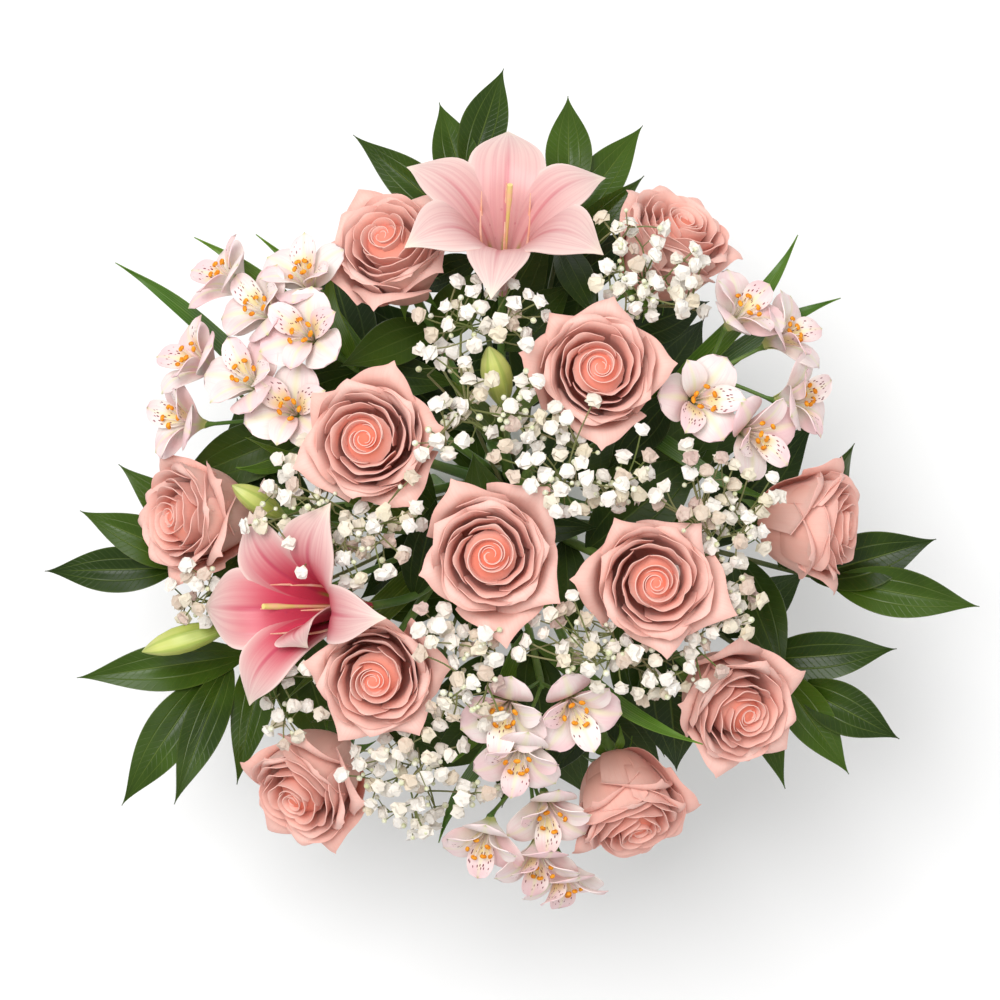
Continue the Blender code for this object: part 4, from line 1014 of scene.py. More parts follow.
ROSE = rose_finish()
LILY = lily_finish()
PALE = alstroemeria_finish()
GLOSSY = leaf_finish(
    "Glossy dark leaf", (0.014, 0.032, 0.002), (0.045, 0.09, 0.006), (0.12, 0.17, 0.03), 0.3, 0.24, 3
)
BROAD = leaf_finish("Lily leaf", (0.06, 0.11, 0.006), (0.16, 0.24, 0.02), (0.26, 0.34, 0.06), 0.36, 0.3, 9)
SLIM = leaf_finish(
    "Alstroemeria leaf", (0.045, 0.12, 0.008), (0.11, 0.21, 0.02), (0.2, 0.3, 0.05), 0.38, 0.28, 7
)
SOFT = leaf_finish("Rose leaf", (0.012, 0.03, 0.003), (0.045, 0.085, 0.008), (0.1, 0.15, 0.03), 0.4, 0.2, 3)
GREEN = stem_finish("Green stem", (0.07, 0.16, 0.025), (0.16, 0.26, 0.05))
TWIGGY = stem_finish("Leafy twig", (0.05, 0.09, 0.02), (0.13, 0.14, 0.05), 0.55)
THIN = stem_finish("Baby's breath twig", (0.13, 0.17, 0.04), (0.24, 0.22, 0.1), 0.6)
BUD = bud_finish()
WHITE = floret_finish()
CREAM = plain_finish("Baby's breath bud", (0.8, 0.78, 0.66), (0.6, 0.62, 0.36), 300.0, 0.55)
PEACH = plain_finish("Lily filament", (0.86, 0.46, 0.3), (0.9, 0.6, 0.45), 200.0)
STYLE = plain_finish("Lily style", (0.85, 0.5, 0.3), (0.75, 0.62, 0.2), 120.0)
POLLEN = plain_finish("Alstroemeria anther", (0.85, 0.36, 0.03), (0.66, 0.2, 0.015), 500.0, 0.8, 0.1)
CUT = plain_finish("Cut stem end", (0.42, 0.46, 0.2), (0.3, 0.36, 0.12), 600.0, 0.6)
JUTE = plain_finish("Jute twine", (0.42, 0.29, 0.15), (0.27, 0.17, 0.08), 900.0, 0.9, 0.1)


def pick(*pieces):
    """Selects these pieces alone, with the first one active."""
    bpy.ops.object.select_all(action="DESELECT")
    for piece in pieces:
        piece.select_set(True)
    bpy.context.view_layer.objects.active = pieces[0]


def shown(name, data):
    """A new object in the scene that holds this mesh, curve, light or camera."""
    made = bpy.data.objects.new(name, data)
    bpy.context.scene.collection.objects.link(made)
    return made


def mesh_alone(made):
    """The mesh of a helper, which is removed."""
    mesh = made.data.copy()
    bpy.data.objects.remove(made)
    return mesh


def all_smooth(mesh):
    mesh.polygons.foreach_set("use_smooth", [True] * len(mesh.polygons))


def flat_grid(across, along):
    """A flat grid, from -1 to 1 both ways, with its UV map laid across and along."""
    bpy.ops.object.select_all(action="DESELECT")
    bpy.ops.mesh.primitive_grid_add(x_subdivisions=across, y_subdivisions=along, size=2.0)
    mesh = mesh_alone(bpy.context.object)
    all_smooth(mesh)
    return mesh


GRIDS = {}


def laid(name, surface, finish, size, mark=(0.0, 0.0)):
    """A grid laid on surface(u, v): u from -1 to 1 across, v from 0 at the foot to 1 at the tip."""
    if size not in GRIDS:
        GRIDS[size] = flat_grid(*size)
    mesh = GRIDS[size].copy()
    for vertex in mesh.vertices:
        x, y, _ = vertex.co
        vertex.co = place(surface(x, (y + 1) / 2))
    marks = mesh.uv_layers.new(name="Mark")
    marks.data.foreach_set("uv", list(mark) * len(mesh.loops))
    mesh.materials.append(finish)
    return shown(name, mesh)


def joined(name, pieces):
    """Several pieces made one."""
    pick(*pieces)
    if len(pieces) > 1:
        bpy.ops.object.join()
    pieces[0].name = name
    pieces[0].data.name = name
    return pieces[0]


def walled(piece, thick):
    """Gives open petals and leaves their thickness."""
    pick(piece)
    wall = piece.modifiers.new("Wall", "SOLIDIFY")
    wall.thickness = thick * 0.001
    wall.offset = 0.0
    bpy.ops.object.modifier_apply(modifier="Wall")
    return piece


def sealed(piece):
    """Closes the seams and poles of round pieces and turns their faces out."""
    pick(piece)
    bpy.ops.object.mode_set(mode="EDIT")
    bpy.ops.mesh.select_all(action="SELECT")
    bpy.ops.mesh.remove_doubles(threshold=0.000005)
    bpy.ops.mesh.normals_make_consistent(inside=False)
    bpy.ops.object.mode_set(mode="OBJECT")
    return piece


def rods(name, ways, finish, round_by=2):
    """Round rods along ways of (points, radii), with closed ends."""
    curve = bpy.data.curves.new(name, "CURVE")
    curve.dimensions = "3D"
    curve.bevel_depth = 0.001
    curve.bevel_resolution = round_by
    curve.use_fill_caps = True
    for points, radii in ways:
        line = curve.splines.new("POLY")
        line.points.add(len(points) - 1)
        for spot, p, r in zip(line.points, points, radii):
            spot.co = (*place(p), 1)
            spot.radius = r
    pick(shown(name, curve))
    bpy.ops.object.convert(target="MESH")
    made = bpy.context.object
    mesh = made.data
    for layer in list(mesh.uv_layers):
        mesh.uv_layers.remove(layer)
    mesh.uv_layers.new(name="UVMap")
    mesh.uv_layers.new(name="Mark")
    mesh.materials.clear()
    mesh.materials.append(finish)
    all_smooth(mesh)
    return made


def curved(path, per=5):
    """Points of a smooth curve through the points of a path."""
    found = []
    for k in range(len(path) - 1):
        a = path[max(k - 1, 0)]
        b, c = path[k], path[k + 1]
        d = path[min(k + 2, len(path) - 1)]
        for step in range(per):
            t = step / per
            bent = (2 * a - 5 * b + 4 * c - d) * t * t + (3 * b - a - 3 * c + d) * t ** 3
            found.append(0.5 * (2 * b + (c - a) * t + bent))
    found.append(path[-1])
    return found


def finished(piece, slot, *nodes, angle=55):
    """Smooths a piece, lets it ride and hides the parts of the model that it stands for; slot is not used."""
    pick(piece)
    bpy.ops.object.shade_smooth_by_angle(angle=math.radians(angle))
    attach(piece, "root")
    if nodes:
        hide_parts(*nodes)
    return piece


def lipped(seat, surface, lip, wave, phase, from_v=0.86, point=0.0):
    """A petal whose edge waves a little and rolls out and under, less so at a pointed tip."""

    def at(u, v):
        x, y, z = surface(u, v)
        rho = math.hypot(x, y) + 1e-6
        roll = max(0.0, v - from_v) / (1 - from_v) * 2.3
        here = lip * (1 - point * math.exp(-((u / 0.22) ** 2)))
        away = here * math.sin(roll) + wave * v ** 3 * math.sin(2.6 * math.pi * u + phase)
        z -= here * (1 - math.cos(roll)) - 0.5 * wave * v ** 3 * math.sin(4.1 * u + 2 * phase)
        k = (rho + away) / rho
        return seat.out(x * k, y * k, z)

    return at


def uneven(surface, amount):
    """Pulls the middle of a petal's edge out to a soft corner, or in to a straight side."""

    def at(u, v):
        x, y, z = surface(u, v)
        k = 1 + amount * (0.6 - abs(u)) * v * v
        return x * k, y * k, z

    return at


def heart_petal(seat, turn, r, arc, top, spiral, shift, foot=18.0):
    """A petal rolled round the heart of a rose, with one side tucked in."""

    def at(u, v):
        a = turn + u * arc
        low = 5.0 * max(0.0, u) ** 3 + 3.2 * max(0.0, -u) ** 4
        z = foot + (top - low - foot) * v
        roll = max(0.0, v - 0.84) / 0.16
        rho = (r + spiral * u) * (0.8 + 0.2 * v) + 0.8 * roll * roll * (1 - 0.7 * abs(u) ** 3)
        return seat.out(rho * math.cos(a) + shift[0], rho * math.sin(a) + shift[1], z - 0.35 * roll * roll)

    return at


# petals of a rose in its second ring, in its middle and in its heart
RING_PETALS = 5
MIDDLE_PETALS = 14
HEART_PETALS = 9


def rose_bloom(key):
    """Pointed outer petals with rolled edges, close middle petals and a tight spiral heart."""
    seat = rose_seat(key)
    dice = random.Random("fine rose " + key)
    petals = []

    def add(surface, size, rank):
        petals.append(laid("petal", surface, ROSE, size, (rank, dice.random())))

    for k, (direction, reach) in enumerate(ROSES[key][3]):
        profile = ((4, 2), (0.82 * reach, -1.5), (0.55 * reach, 56 - k), (reach + 5.0, 43 - k))
        surface = rose_petal(turn_of(direction), profile, 25, 2.0, 4.0, 0.38, 0.85)
        add(lipped(seat, surface, 2.2, 0.7, dice.uniform(0, 6), 0.86, 0.95), (22, 16), 0.0)
    start = turn_of(ROSES[key][3][0][0]) + math.pi / 5
    for k in range(RING_PETALS):
        r = 31.5 - 0.5 * k + dice.uniform(-1.2, 1.2)
        profile = ((4, 5), (0.86 * r, 1), (0.6 * r, 60 - k), (r, 48.5 - 0.5 * k))
        surface = rose_petal(start + turn_of(74 * k + dice.uniform(-9, 9)), profile, 21, 1.8, 2.5, 0.3, 0.95)
        add(lipped(seat, surface, 1.9, 0.6, dice.uniform(0, 6), 0.82, 0.9), (18, 14), 0.15)
    turn = dice.uniform(0, 6.28)
    for k in range(MIDDLE_PETALS):
        r = 27.2 - 1.02 * k + dice.uniform(-0.4, 0.4)
        turn += 2.4 + dice.uniform(-0.25, 0.25)
        profile = ((3, 10), (r + 4, 8 + 0.6 * k), (r - 2.5, 48 + 0.25 * k), (r + 1.2, 50.8 + 0.2 * k))
        surface = rose_petal(turn, profile, 20 - 0.55 * k, 2.0, 0.8, 0.22, 2.2)
        surface = uneven(surface, dice.uniform(-0.1, 0.16))
        add(lipped(seat, surface, 1.4 - 0.05 * k, 0.4, dice.uniform(0, 6), 0.82), (16, 9), 0.3 + 0.03 * k)
    shift = np.array([dice.uniform(-0.7, 0.7), dice.uniform(-0.7, 0.7)])
    for k in range(HEART_PETALS):
        r = 12.0 - 1.28 * k + dice.uniform(-0.35, 0.35)
        turn += 2.2 + dice.uniform(-0.5, 0.5)
        arc = min(2.6, 12.5 / r) * dice.uniform(0.8, 1.1)
        top = 53.9 - 0.1 * k - 0.03 * k * k + dice.uniform(-0.6, 0.6)
        off = shift * k / 8 + np.array([dice.uniform(-0.5, 0.5), dice.uniform(-0.5, 0.5)])
        add(heart_petal(seat, turn, max(r, 1.2), arc, top, min(1.6, 0.4 * r), off), (18, 8), 0.78 + 0.024 * k)

    def core(u, v):
        return seat.out(13.5 * v * math.cos(math.pi * u), 13.5 * v * math.sin(math.pi * u), 50.5 - 9 * v * v)

    add(core, (14, 6), 0.95)
    bloom = walled(joined(f"rose_{key}_bloom", petals), 0.4)
    return finished(bloom, "rose", f"rose_{key}")


# how much crimson each lily has
LILY_DEPTH = {"a": 0.4, "b": 1.0}


def lily_bloom(key, depth):
    """Six petals with a grooved midrib and a waved edge, their stamens and the style."""
    seat = lily_seat(key)
    dice = random.Random("fine lily " + key)
    petals = []
    for direction, reach, half in LILIES[key][3]:
        surface = lily_petal(turn_of(direction), reach, half)
        phase = dice.uniform(0, 6)

        def at(u, v, surface=surface, phase=phase):
            full = min(1.0, max(0.0, (v - 0.55) / 0.35))
            x, y, z = surface(u * (1.1 + 0.3 * full * full * (3 - 2 * full)), v)
            groove = 0.9 * math.exp(-((u / 0.09) ** 2)) * math.sin(math.pi * min(1.0, v * 1.05))
            ruffle = 0.9 * abs(u) ** 3 * math.sin(15 * v + phase) * math.sin(math.pi * v)
            return seat.out(x, y, z - groove + ruffle)

        petals.append(laid("petal", at, LILY, (15, 30), (depth, dice.random())))
    bloom = walled(joined("petals", petals), 0.7)
    threads = lily_threads()
    ways = []
    for foot, end in threads[:-1]:
        a, b = np.array(foot, float), np.array(end, float)
        bow = unit((a[0], a[1], 0)) * 4
        points = [seat.out(*(a + (b - a) * t + bow * math.sin(math.pi * t))) for t in np.linspace(0, 1, 9)]
        ways.append((points, [1.0, 0.9, 0.85, 0.8, 0.75, 0.7, 0.65, 0.5, 0.25]))
    filaments = rods("filaments", ways, PEACH)
    a, b = (np.array(p, float) for p in threads[-1])
    points = [seat.out(*(a + (b - a) * t)) for t in np.linspace(0, 1, 9)]
    style = rods("style", [(points, [1.8, 1.2, 0.95, 0.9, 0.9, 0.95, 1.1, 1.7, 1.5])], STYLE, 3)
    return finished(joined(f"lily_{key}_bloom", [bloom, filaments, style]), "lily", f"lily_{key}")


def waved(surface, wave, phase):
    """A leaf with waves along its edges and a furrow along its midrib."""

    def at(u, v):
        p = np.array(surface(u, v))
        p[2] += wave * u * math.sin(9 * v + phase) * math.sin(math.pi * v) - 0.25 * (1 - abs(u)) ** 6
        return p

    return at


RIBBON_BROADER = 1.55  # a strap leaf against its plain blade


def ribbon(surface, sway, twist):
    """A strap leaf that is broader and swings to one side and back."""

    def at(u, v):
        middle = np.array(surface(0.0, v))
        side = np.array(surface(1.0, v)) - middle
        around = unit(np.array(surface(1.0, 0.4)) - np.array(surface(-1.0, 0.4)))
        turn = twist * math.sin(math.pi * v)
        flat = np.array([side[0], side[1], 0.0]) * math.cos(turn)
        across = flat + np.array([0, 0, np.linalg.norm(side[:2])]) * math.sin(turn)
        away = around * sway * math.sin(math.pi * v) * v
        return middle + across * u * RIBBON_BROADER + away + np.array([0, 0, 0.8 * abs(u)])

    return at


def leaves_of(path, leaves, finish, dice, wave=1.0, fold=0.35, roll=0.0, size=(11, 22)):
    """Leaves of (place, tip, half width, arch) on a stem."""
    found = []
    for spot, tip, half, arch in leaves:
        surface = leaf_surface(on_path(path, spot), tip, half, arch, fold, roll)
        surface = waved(surface, wave, dice.uniform(0, 6))
        found.append(laid("leaf", surface, finish, size, (0.0, dice.random())))
    return found


def stem_of(path, radii, finish, dice):
    """A round stem along a smooth way, a little uneven, and its cut end."""
    way = curved(path, 6)
    places = np.linspace(0, 1, len(way))
    wanted = np.interp(places, np.linspace(0, 1, len(radii)), radii)
    wanted = [r * (0.93 + dice.uniform(-0.02, 0.02)) for r in wanted]
    stem = rods("stem", [(way, wanted)], finish)
    low = way[0]
    ahead = unit(way[1] - way[0])
    end = rods("end", [([low - ahead * 0.01, low + ahead * 0.5], [wanted[0] * 0.97] * 2)], CUT)
    return [stem, end]


def calyx(key, dice):
    """The rounded hip under a rose and its five hanging sepals."""
    seat = rose_seat(key)
    outline = ((-10.5, 2.9), (-9.0, 3.4), (-6.5, 4.5), (-3.5, 5.0), (-1.0, 4.6), (0.5, 3.0))

    def hip(u, v):
        k = min(v * (len(outline) - 1), len(outline) - 1.001)
        n = int(k)
        z, r = (a + (b - a) * (k - n) for a, b in zip(outline[n], outline[n + 1]))
        return seat.out(r * math.cos(math.pi * u), r * math.sin(math.pi * u), z)

    body = sealed(laid("hip", hip, GREEN, (14, 11)))
    found = []
    for k in range(5):
        a = turn_of(72 * k + 10)
        long = dice.uniform(15, 17.5)
        dice.random()  # keeps the draws after it in their order

        def at(u, v, a=a, long=long):
            wide = 3.6 * (1 - v ** 1.6) * (1 - 0.25 * math.sin(9 * v))
            rho, z = bezier(((3.8, -1.0), (9, 0.5), (13.5, -2), (long, -11)), v)
            x, y = rho, wide * u
            z += 0.25 * abs(u) * wide * math.cos(2 * v)
            return seat.out(x * math.cos(a) - y * math.sin(a), x * math.sin(a) + y * math.cos(a), z)

        found.append(laid("sepal", at, SLIM, (5, 12), (0.0, dice.random())))
    return body, found


THORNS = 3  # on each rose stem


def rose_stem(key, path, leaves):
    """A rose's stalk with its hip, sepals, leaves and thorns."""
    dice = random.Random("fine rose stem " + key)
    body, sepals = calyx(key, dice)
    leafy = sepals + leaves_of(path, leaves, SOFT, dice, fold=0.3)
    blades = walled(joined("blades", leafy), 0.6)
    solid = stem_of(path, [RADII["rose"]] * 2, GREEN, dice)
    thorns = []
    for _ in range(THORNS):
        base = on_path(path, dice.uniform(0.24, 0.7))
        aside = np.array([dice.uniform(-9, 9), dice.uniform(-9, 9), 0])
        side = unit(np.array([base[0], base[1], 0.0]) + aside)
        point = base + side * 5.2 - np.array([0, 0, 1.2])
        thorns.append(([base + side * 2.0, base + side * 3.6, point], [1.5, 0.9, 0.1]))
    solid.append(rods("thorns", thorns, GREEN, 1))
    return finished(joined(f"rose_{key}_stalk", [blades, body] + solid), "stem", f"rose_{key}_stem")


# a bud from its foot to its tip: place and share of its full radius
BUD_OUTLINE = (
    (0.0, 0.3),
    (0.1, 0.5),
    (0.25, 0.8),
    (0.45, 1.0),
    (0.62, 0.98),
    (0.8, 0.72),
    (0.93, 0.34),
    (1.0, 0.04),
)


def lily_bud(base, tip, thick):
    """A closed bud with six ribs."""
    base, tip = np.array(base, float), np.array(tip, float)
    way = tip - base
    side = unit(np.cross(way, (0, 0, 1)))
    up = unit(np.cross(side, way))
    places = [p for p, _ in BUD_OUTLINE]
    radii = [r for _, r in BUD_OUTLINE]

    def at(u, v):
        a = math.pi * u
        r = np.interp(v, places, radii) * thick * (0.95 + 0.05 * math.cos(3 * a) + 0.02 * math.cos(6 * a))
        return base + way * v + (side * math.cos(a) + up * math.sin(a)) * r

    return laid("bud", at, BUD, (30, 18), (0.0, 0.5))


def lily_stem(key, path, inner):
    """A lily's stalk with its leaves and its closed buds on side stalks."""
    dice = random.Random("fine lily stem " + key)
    buds, leaves = LILY_EXTRAS[key]
    blades = leaves_of(path, leaves, BROAD, dice, 1.4) + leaves_of(path, inner, SOFT, dice, fold=0.3)
    blades = walled(joined("blades", blades), 0.7)
    solid = stem_of(path, [3.8, 3.8, 3.8, 3.2, 3.2, 3.2, 2.6, 2.8], GREEN, dice)
    heads = []
    for base, tip, thick in buds:
        start = path[3]
        base = np.array(base, float)
        way = unit(np.array(tip, float) - base)
        lift = np.array([0, 0, 25.0])
        arms = (start, start + lift, base - way * 25, base)
        mid = np.array(bezier(arms, 0.5))
        points = curved([start, mid, base + way * 1.5], 5)
        heads.append(rods("stalk", [(points, np.linspace(1.9, 1.5, len(points)))], GREEN))
        heads.append(lily_bud(base, tip, thick))
    heads = sealed(joined("heads", heads))
    return finished(joined(f"lily_{key}_stalk", [blades, heads] + solid), "stem", f"lily_{key}_stem")


def tepal(seat, turn, size, profile, half, cup, phase):
    """One petal of an alstroemeria: a narrow claw that broadens to a rounded, pointed end."""

    def at(u, v):
        rho, z = bezier(profile, v)
        wide = half * (0.14 + 0.86 * math.sin(math.pi / 2 * min(1.0, v / 0.7)) ** 1.8)
        if v > 0.62:
            wide *= math.sqrt(max(0.0, 1 - ((v - 0.62) / 0.38) ** 2.6)) * 0.9 + 0.1 * (1 - v) / 0.38
        y = wide * u
        z += cup * u * u * math.sin(math.pi * v) + 0.6 * abs(u) ** 3 * math.sin(8 * v + phase)
        rho -= 0.8 * u * u * v
        c, s = math.cos(turn), math.sin(turn)
        return seat.out((rho * c - y * s) * size, (rho * s + y * c) * size, z * size)

    return at


def alstroemeria_head(key):
    """Flowers of six petals on short stalks, with curved stamens."""
    fork, mouths, _ = ALSTROEMERIA[key]
    fork = np.array(fork, float)
    start_dice = random.Random("alstroemeria " + key)
    dice = random.Random("fine alstroemeria " + key)
    knob = Seat(fork, (fork[0] * 0.004, fork[1] * 0.004, 1))
    petals, stalks, threads, anthers = [], [], [], []
    for k, mouth in enumerate(mouths):
        seat = alstroemeria_seat(fork, mouth)
        first = start_dice.uniform(0, 1)
        for n in range(6):
            turn = first + turn_of(60 * n)
            phase = dice.uniform(0, 6)
            if n % 2 == 0:
                end = (27.5 + dice.uniform(-0.5, 0.5), 20 + dice.uniform(-1.5, 1))
                profile = ((1.5, 0), (4.5, 11), (13, 23), end)
                surface = tepal(seat, turn, 0.95, profile, 14.0, -1.6, phase)
                kind = 0.2
            else:
                profile = ((1.5, 1), (3.5, 13), (9, 25), (24, 27 + dice.uniform(-1, 1)))
                surface = tepal(seat, turn, 0.95, profile, 8.2, 1.8, phase)
                kind = 1.0 if n != 3 else 0.5
            petals.append(laid("petal", surface, PALE, (11, 16), (kind, dice.random())))
        base = knob.out(0, 0, 3 + 2.6 * k)
        middle = (base + seat.base) / 2 + np.array([0, 0, -1.0])
        points = curved([base, middle, seat.base - seat.z * 2.5, seat.base + seat.z], 4)
        stalks.append((points, [1.1] * 8 + [1.6, 2.4, 2.6, 2.2, 1.6]))
        for n in range(6):
            a = first + turn_of(60 * n + 22) + dice.uniform(-0.2, 0.2)
            reach = dice.uniform(4, 8.5)
            arms = ((0.5, 1), (2, 12), (reach * 0.6, 21), (reach, dice.uniform(19, 23)))
            line = [bezier(arms, t) for t in np.linspace(0, 1, 7)]
            points = [seat.out(r * math.cos(a), r * math.sin(a), z) for r, z in line]
            threads.append((points, [0.5, 0.45, 0.4, 0.4, 0.35, 0.35, 0.3]))
            ahead = unit(points[-1] - points[-2])
            side = unit(np.cross(ahead, seat.z))
            ends = [points[-1] + side * t for t in (-1.9, -1.2, 0, 1.2, 1.9)]
            anthers.append((ends, [0.4, 1.1, 1.25, 1.1, 0.4]))
    petals = walled(joined("petals", petals), 0.5)
    height = 3 + 2.6 * len(mouths)
    stalks.append(([knob.out(0, 0, 0.8), knob.out(0, 0, height)], [2.2, 1.5]))
    parts = [
        petals,
        rods("stalks", stalks, GREEN),
        rods("threads", threads, PALE, 1),
        rods("anthers", anthers, POLLEN, 1),
    ]
    return finished(joined(f"alstroemeria_{key}_flowers", parts), "alstroemeria", f"alstroemeria_{key}")


def alstroemeria_stem(key, path, inner):
    """An alstroemeria's stalk with its long strap leaves."""
    dice = random.Random("fine alstroemeria stem " + key)
    blades = leaves_of(path, inner, SOFT, dice, fold=0.3)
    for n, (spot, tip, half, arch) in enumerate(ALSTROEMERIA[key][2]):
        surface = leaf_surface(on_path(path, spot), tip, half, arch, 0.2, 0.3)
        surface = ribbon(surface, (9, -9)[n % 2], 0.9)
        blades.append(laid("leaf", surface, SLIM, (9, 26), (0.0, dice.random())))
    blades = walled(joined("blades", blades), 0.6)
    solid = stem_of(path, [RADII["alstroemeria"]] * 2, GREEN, dice)
    return finished(joined(f"alstroemeria_{key}_stalk", [blades] + solid), "stem", f"alstroemeria_{key}_stem")


def leafy_branch(key, path, low):
    """A woody twig with glossy leaves at its end and softer ones below."""
    dice = random.Random("fine branch " + key)
    blades = leaves_of(path, BRANCHES[key][1], GLOSSY, dice, 1.5, size=(13, 26))
    blades += leaves_of(path, low, SOFT, dice, fold=0.3)
    blades = walled(joined("blades", blades), 0.6)
    solid = stem_of(path, [2.0] * 4 + [1.7] * 3 + [1.3], TWIGGY, dice)
    return finished(joined(f"branch_{key}_leaves", [blades] + solid), "dark", f"branch_{key}")


# rings of a floret: height and radius
RINGS = ((-0.6, 0.14), (-0.25, 1.0), (0.0, 0.62), (0.18, 0.98), (0.34, 0.5), (0.55, 0.66))


def floret_pattern(seed):
    """A double floret: crinkled rings of petals and a tuft, over a small green cup."""
    dice = random.Random(seed)
    bpy.ops.object.select_all(action="DESELECT")
    bpy.ops.mesh.primitive_circle_add(vertices=10, radius=0.14, location=(0, 0, RINGS[0][0]))
    bpy.ops.object.mode_set(mode="EDIT")
    bpy.ops.mesh.select_all(action="SELECT")
    for height, radius in RINGS[1:]:
        bpy.ops.mesh.extrude_edges_move()
        work = bmesh.from_edit_mesh(bpy.context.object.data)
        ring = (v for v in work.verts if v.select)
        for n, v in enumerate(sorted(ring, key=lambda v: math.atan2(v.co.y, v.co.x))):
            far = radius * dice.uniform(0.72, 1.14)
            a = math.radians(36 * n - 180) + dice.uniform(-0.22, 0.22)
            v.co = (far * math.cos(a), far * math.sin(a), height + 0.2 * dice.uniform(-1, 1))
        bmesh.update_edit_mesh(bpy.context.object.data)
    bpy.ops.mesh.merge(type="CENTER")
    bpy.ops.mesh.select_all(action="SELECT")
    bpy.ops.mesh.normals_make_consistent(inside=False)
    bpy.ops.object.mode_set(mode="OBJECT")
    return mesh_alone(bpy.context.object)


def bud_pattern():
    """A round closed bud."""
    bpy.ops.object.select_all(action="DESELECT")
    bpy.ops.mesh.primitive_uv_sphere_add(segments=7, ring_count=5, radius=1.0)
    return mesh_alone(bpy.context.object)


def scattered(name, patterns, seats, finish):
    """Copies of the patterns on seats of (centre, axis, size, turn), each with a tone of its own."""
    shapes = []
    for pattern in patterns:
        flat = np.empty(len(pattern.vertices) * 3)
        pattern.vertices.foreach_get("co", flat)
        shapes.append((flat.reshape(-1, 3), [list(face.vertices) for face in pattern.polygons]))
    points, faces, marks = [], [], []
    for k, (centre, axis, size, turn) in enumerate(seats):
        flat, sides = shapes[k % len(shapes)]
        seat = Seat(centre, axis)
        c, s = math.cos(turn), math.sin(turn)
        x = flat[:, 0] * c - flat[:, 1] * s
        y = flat[:, 0] * s + flat[:, 1] * c
        moved = centre + size * (np.outer(x, seat.x) + np.outer(y, seat.y) + np.outer(flat[:, 2], seat.z))
        first = len(points)
        tone = (turn * 7.31) % 1
        points += [place(p) for p in moved]
        for side in sides:
            faces.append([first + n for n in side])
            for n in side:
                marks += [tone, flat[n, 2] * 0.5 + 0.5]
    mesh = bpy.data.meshes.new(name)
    mesh.from_pydata(points, [], faces)
    mesh.uv_layers.new(name="UVMap")
    mesh.uv_layers.new(name="Mark").data.foreach_set("uv", marks)
    mesh.materials.append(finish)
    all_smooth(mesh)
    return shown(name, mesh)


class Filler:
    """More florets and buds on the sprays, on fine stalks of their own."""

    def __init__(self, tree, sprays):
        self.tree = tree
        self.heads = []
        self.places = []
        for spray in sprays.values():
            self.places += [f[1] for f in spray.florets]

    def near(self, point):
        """How far the nearest head is."""
        return min(float(np.linalg.norm(p - point)) for p in self.places)

    def grow(self, path, spray, patches, dice):
        """Adds heads over the patches, each on a stalk from the nearest twig of its spray."""
        roots = [on_path(path, t / 20) for t in range(15, 21)]
        for a, b in spray.twigs + [f[:2] for f in spray.florets]:
            roots += [a + (b - a) * t for t in (0.25, 0.5, 0.7)]
        roots = np.array(roots)
        found, stalks, buds = [], [], []
        for x, y, wide, deep, low, high, count in patches:
            done = 0
            for _ in range(count * 30):
                if done == count:
                    break
                a = dice.uniform(0, 2 * math.pi)
                r = math.sqrt(dice.random())
                px, py = x + wide * r * math.cos(a), y + deep * r * math.sin(a)
                spot = np.array([px, py, dome(px, py) + dice.uniform(low, high)])
                if self.tree.find(Vector(spot))[2] < 6.0 or self.near(spot) < 8.2:
                    continue
                root = self.root_for(spot, roots)
                if root is None:
                    continue
                done += 1
                self.places.append(spot)
                axis = unit(unit(spot - root) + np.array([0, 0, 0.9]))
                size = dice.uniform(3.9, 4.9)
                found.append((spot, axis, size, dice.uniform(0, 6)))
                foot = spot - axis * size * 0.45
                bend = (root + foot) / 2 + np.array([dice.uniform(-2, 2), dice.uniform(-2, 2), -2.0])
                stalks.append((curved([root, bend, foot], 3), [0.42] * 7))
                if dice.random() < 0.4:
                    side = unit(np.array([dice.uniform(-1, 1), dice.uniform(-1, 1), 0.6]))
                    end = bend + side * dice.uniform(7, 12)
                    if self.tree.find(Vector(end))[2] > 3.0:
                        buds.append((end, side, dice.uniform(1.2, 1.9), 0.0))
                        stalks.append(([bend, end], [0.3, 0.3]))
        return found, stalks, buds

    def root_for(self, spot, roots):
        """The nearest place on the spray from which a straight stalk is free."""
        far = np.linalg.norm(roots - spot, axis=1)
        for n in np.argsort(far)[:12]:
            if far[n] < 5 or far[n] > 75 or roots[n][2] > spot[2] + 3:
                continue
            steps = max(2, int(far[n] / 4))
            line = [roots[n] + (spot - roots[n]) * k / steps for k in range(1, steps)]
            if all(self.tree.find(Vector(p))[2] > 2.6 for p in line):
                return roots[n]
        return None


# spray: patches of more heads as (x, y, half width, half depth, lowest, highest, count)
MORE = {
    "a": ((-10, 72, 44, 46, -26, 6, 34), (6, 96, 20, 20, -10, 8, 8)),
    "b": ((46, 22, 34, 34, -24, 6, 26), (20, 24, 24, 20, -20, 0, 10)),
    "c": ((114, -2, 36, 36, -22, 6, 30), (104, -48, 34, 26, -22, 4, 20)),
    "d": ((80, 122, 34, 28, -8, 20, 26),),
    "e": ((-84, -6, 44, 44, -26, 2, 34),),
    "f": ((74, -84, 46, 24, -22, 6, 28), (24, -64, 26, 22, -22, 2, 12)),
    "g": ((-24, -84, 24, 46, -24, 6, 26),),
    "h": ((-44, -150, 42, 32, -26, 2, 34),),
    "i": ((-162, -54, 24, 20, -22, 0, 10), (-112, -108, 22, 26, -22, 2, 14)),
}


def bent_middle(a, b, dice):
    """The middle of a twig from a to b, a little off its straight line."""
    away = np.array([dice.uniform(-1, 1) for _ in range(3)])
    return (a + b) / 2 + away * np.linalg.norm(b - a) * 0.05


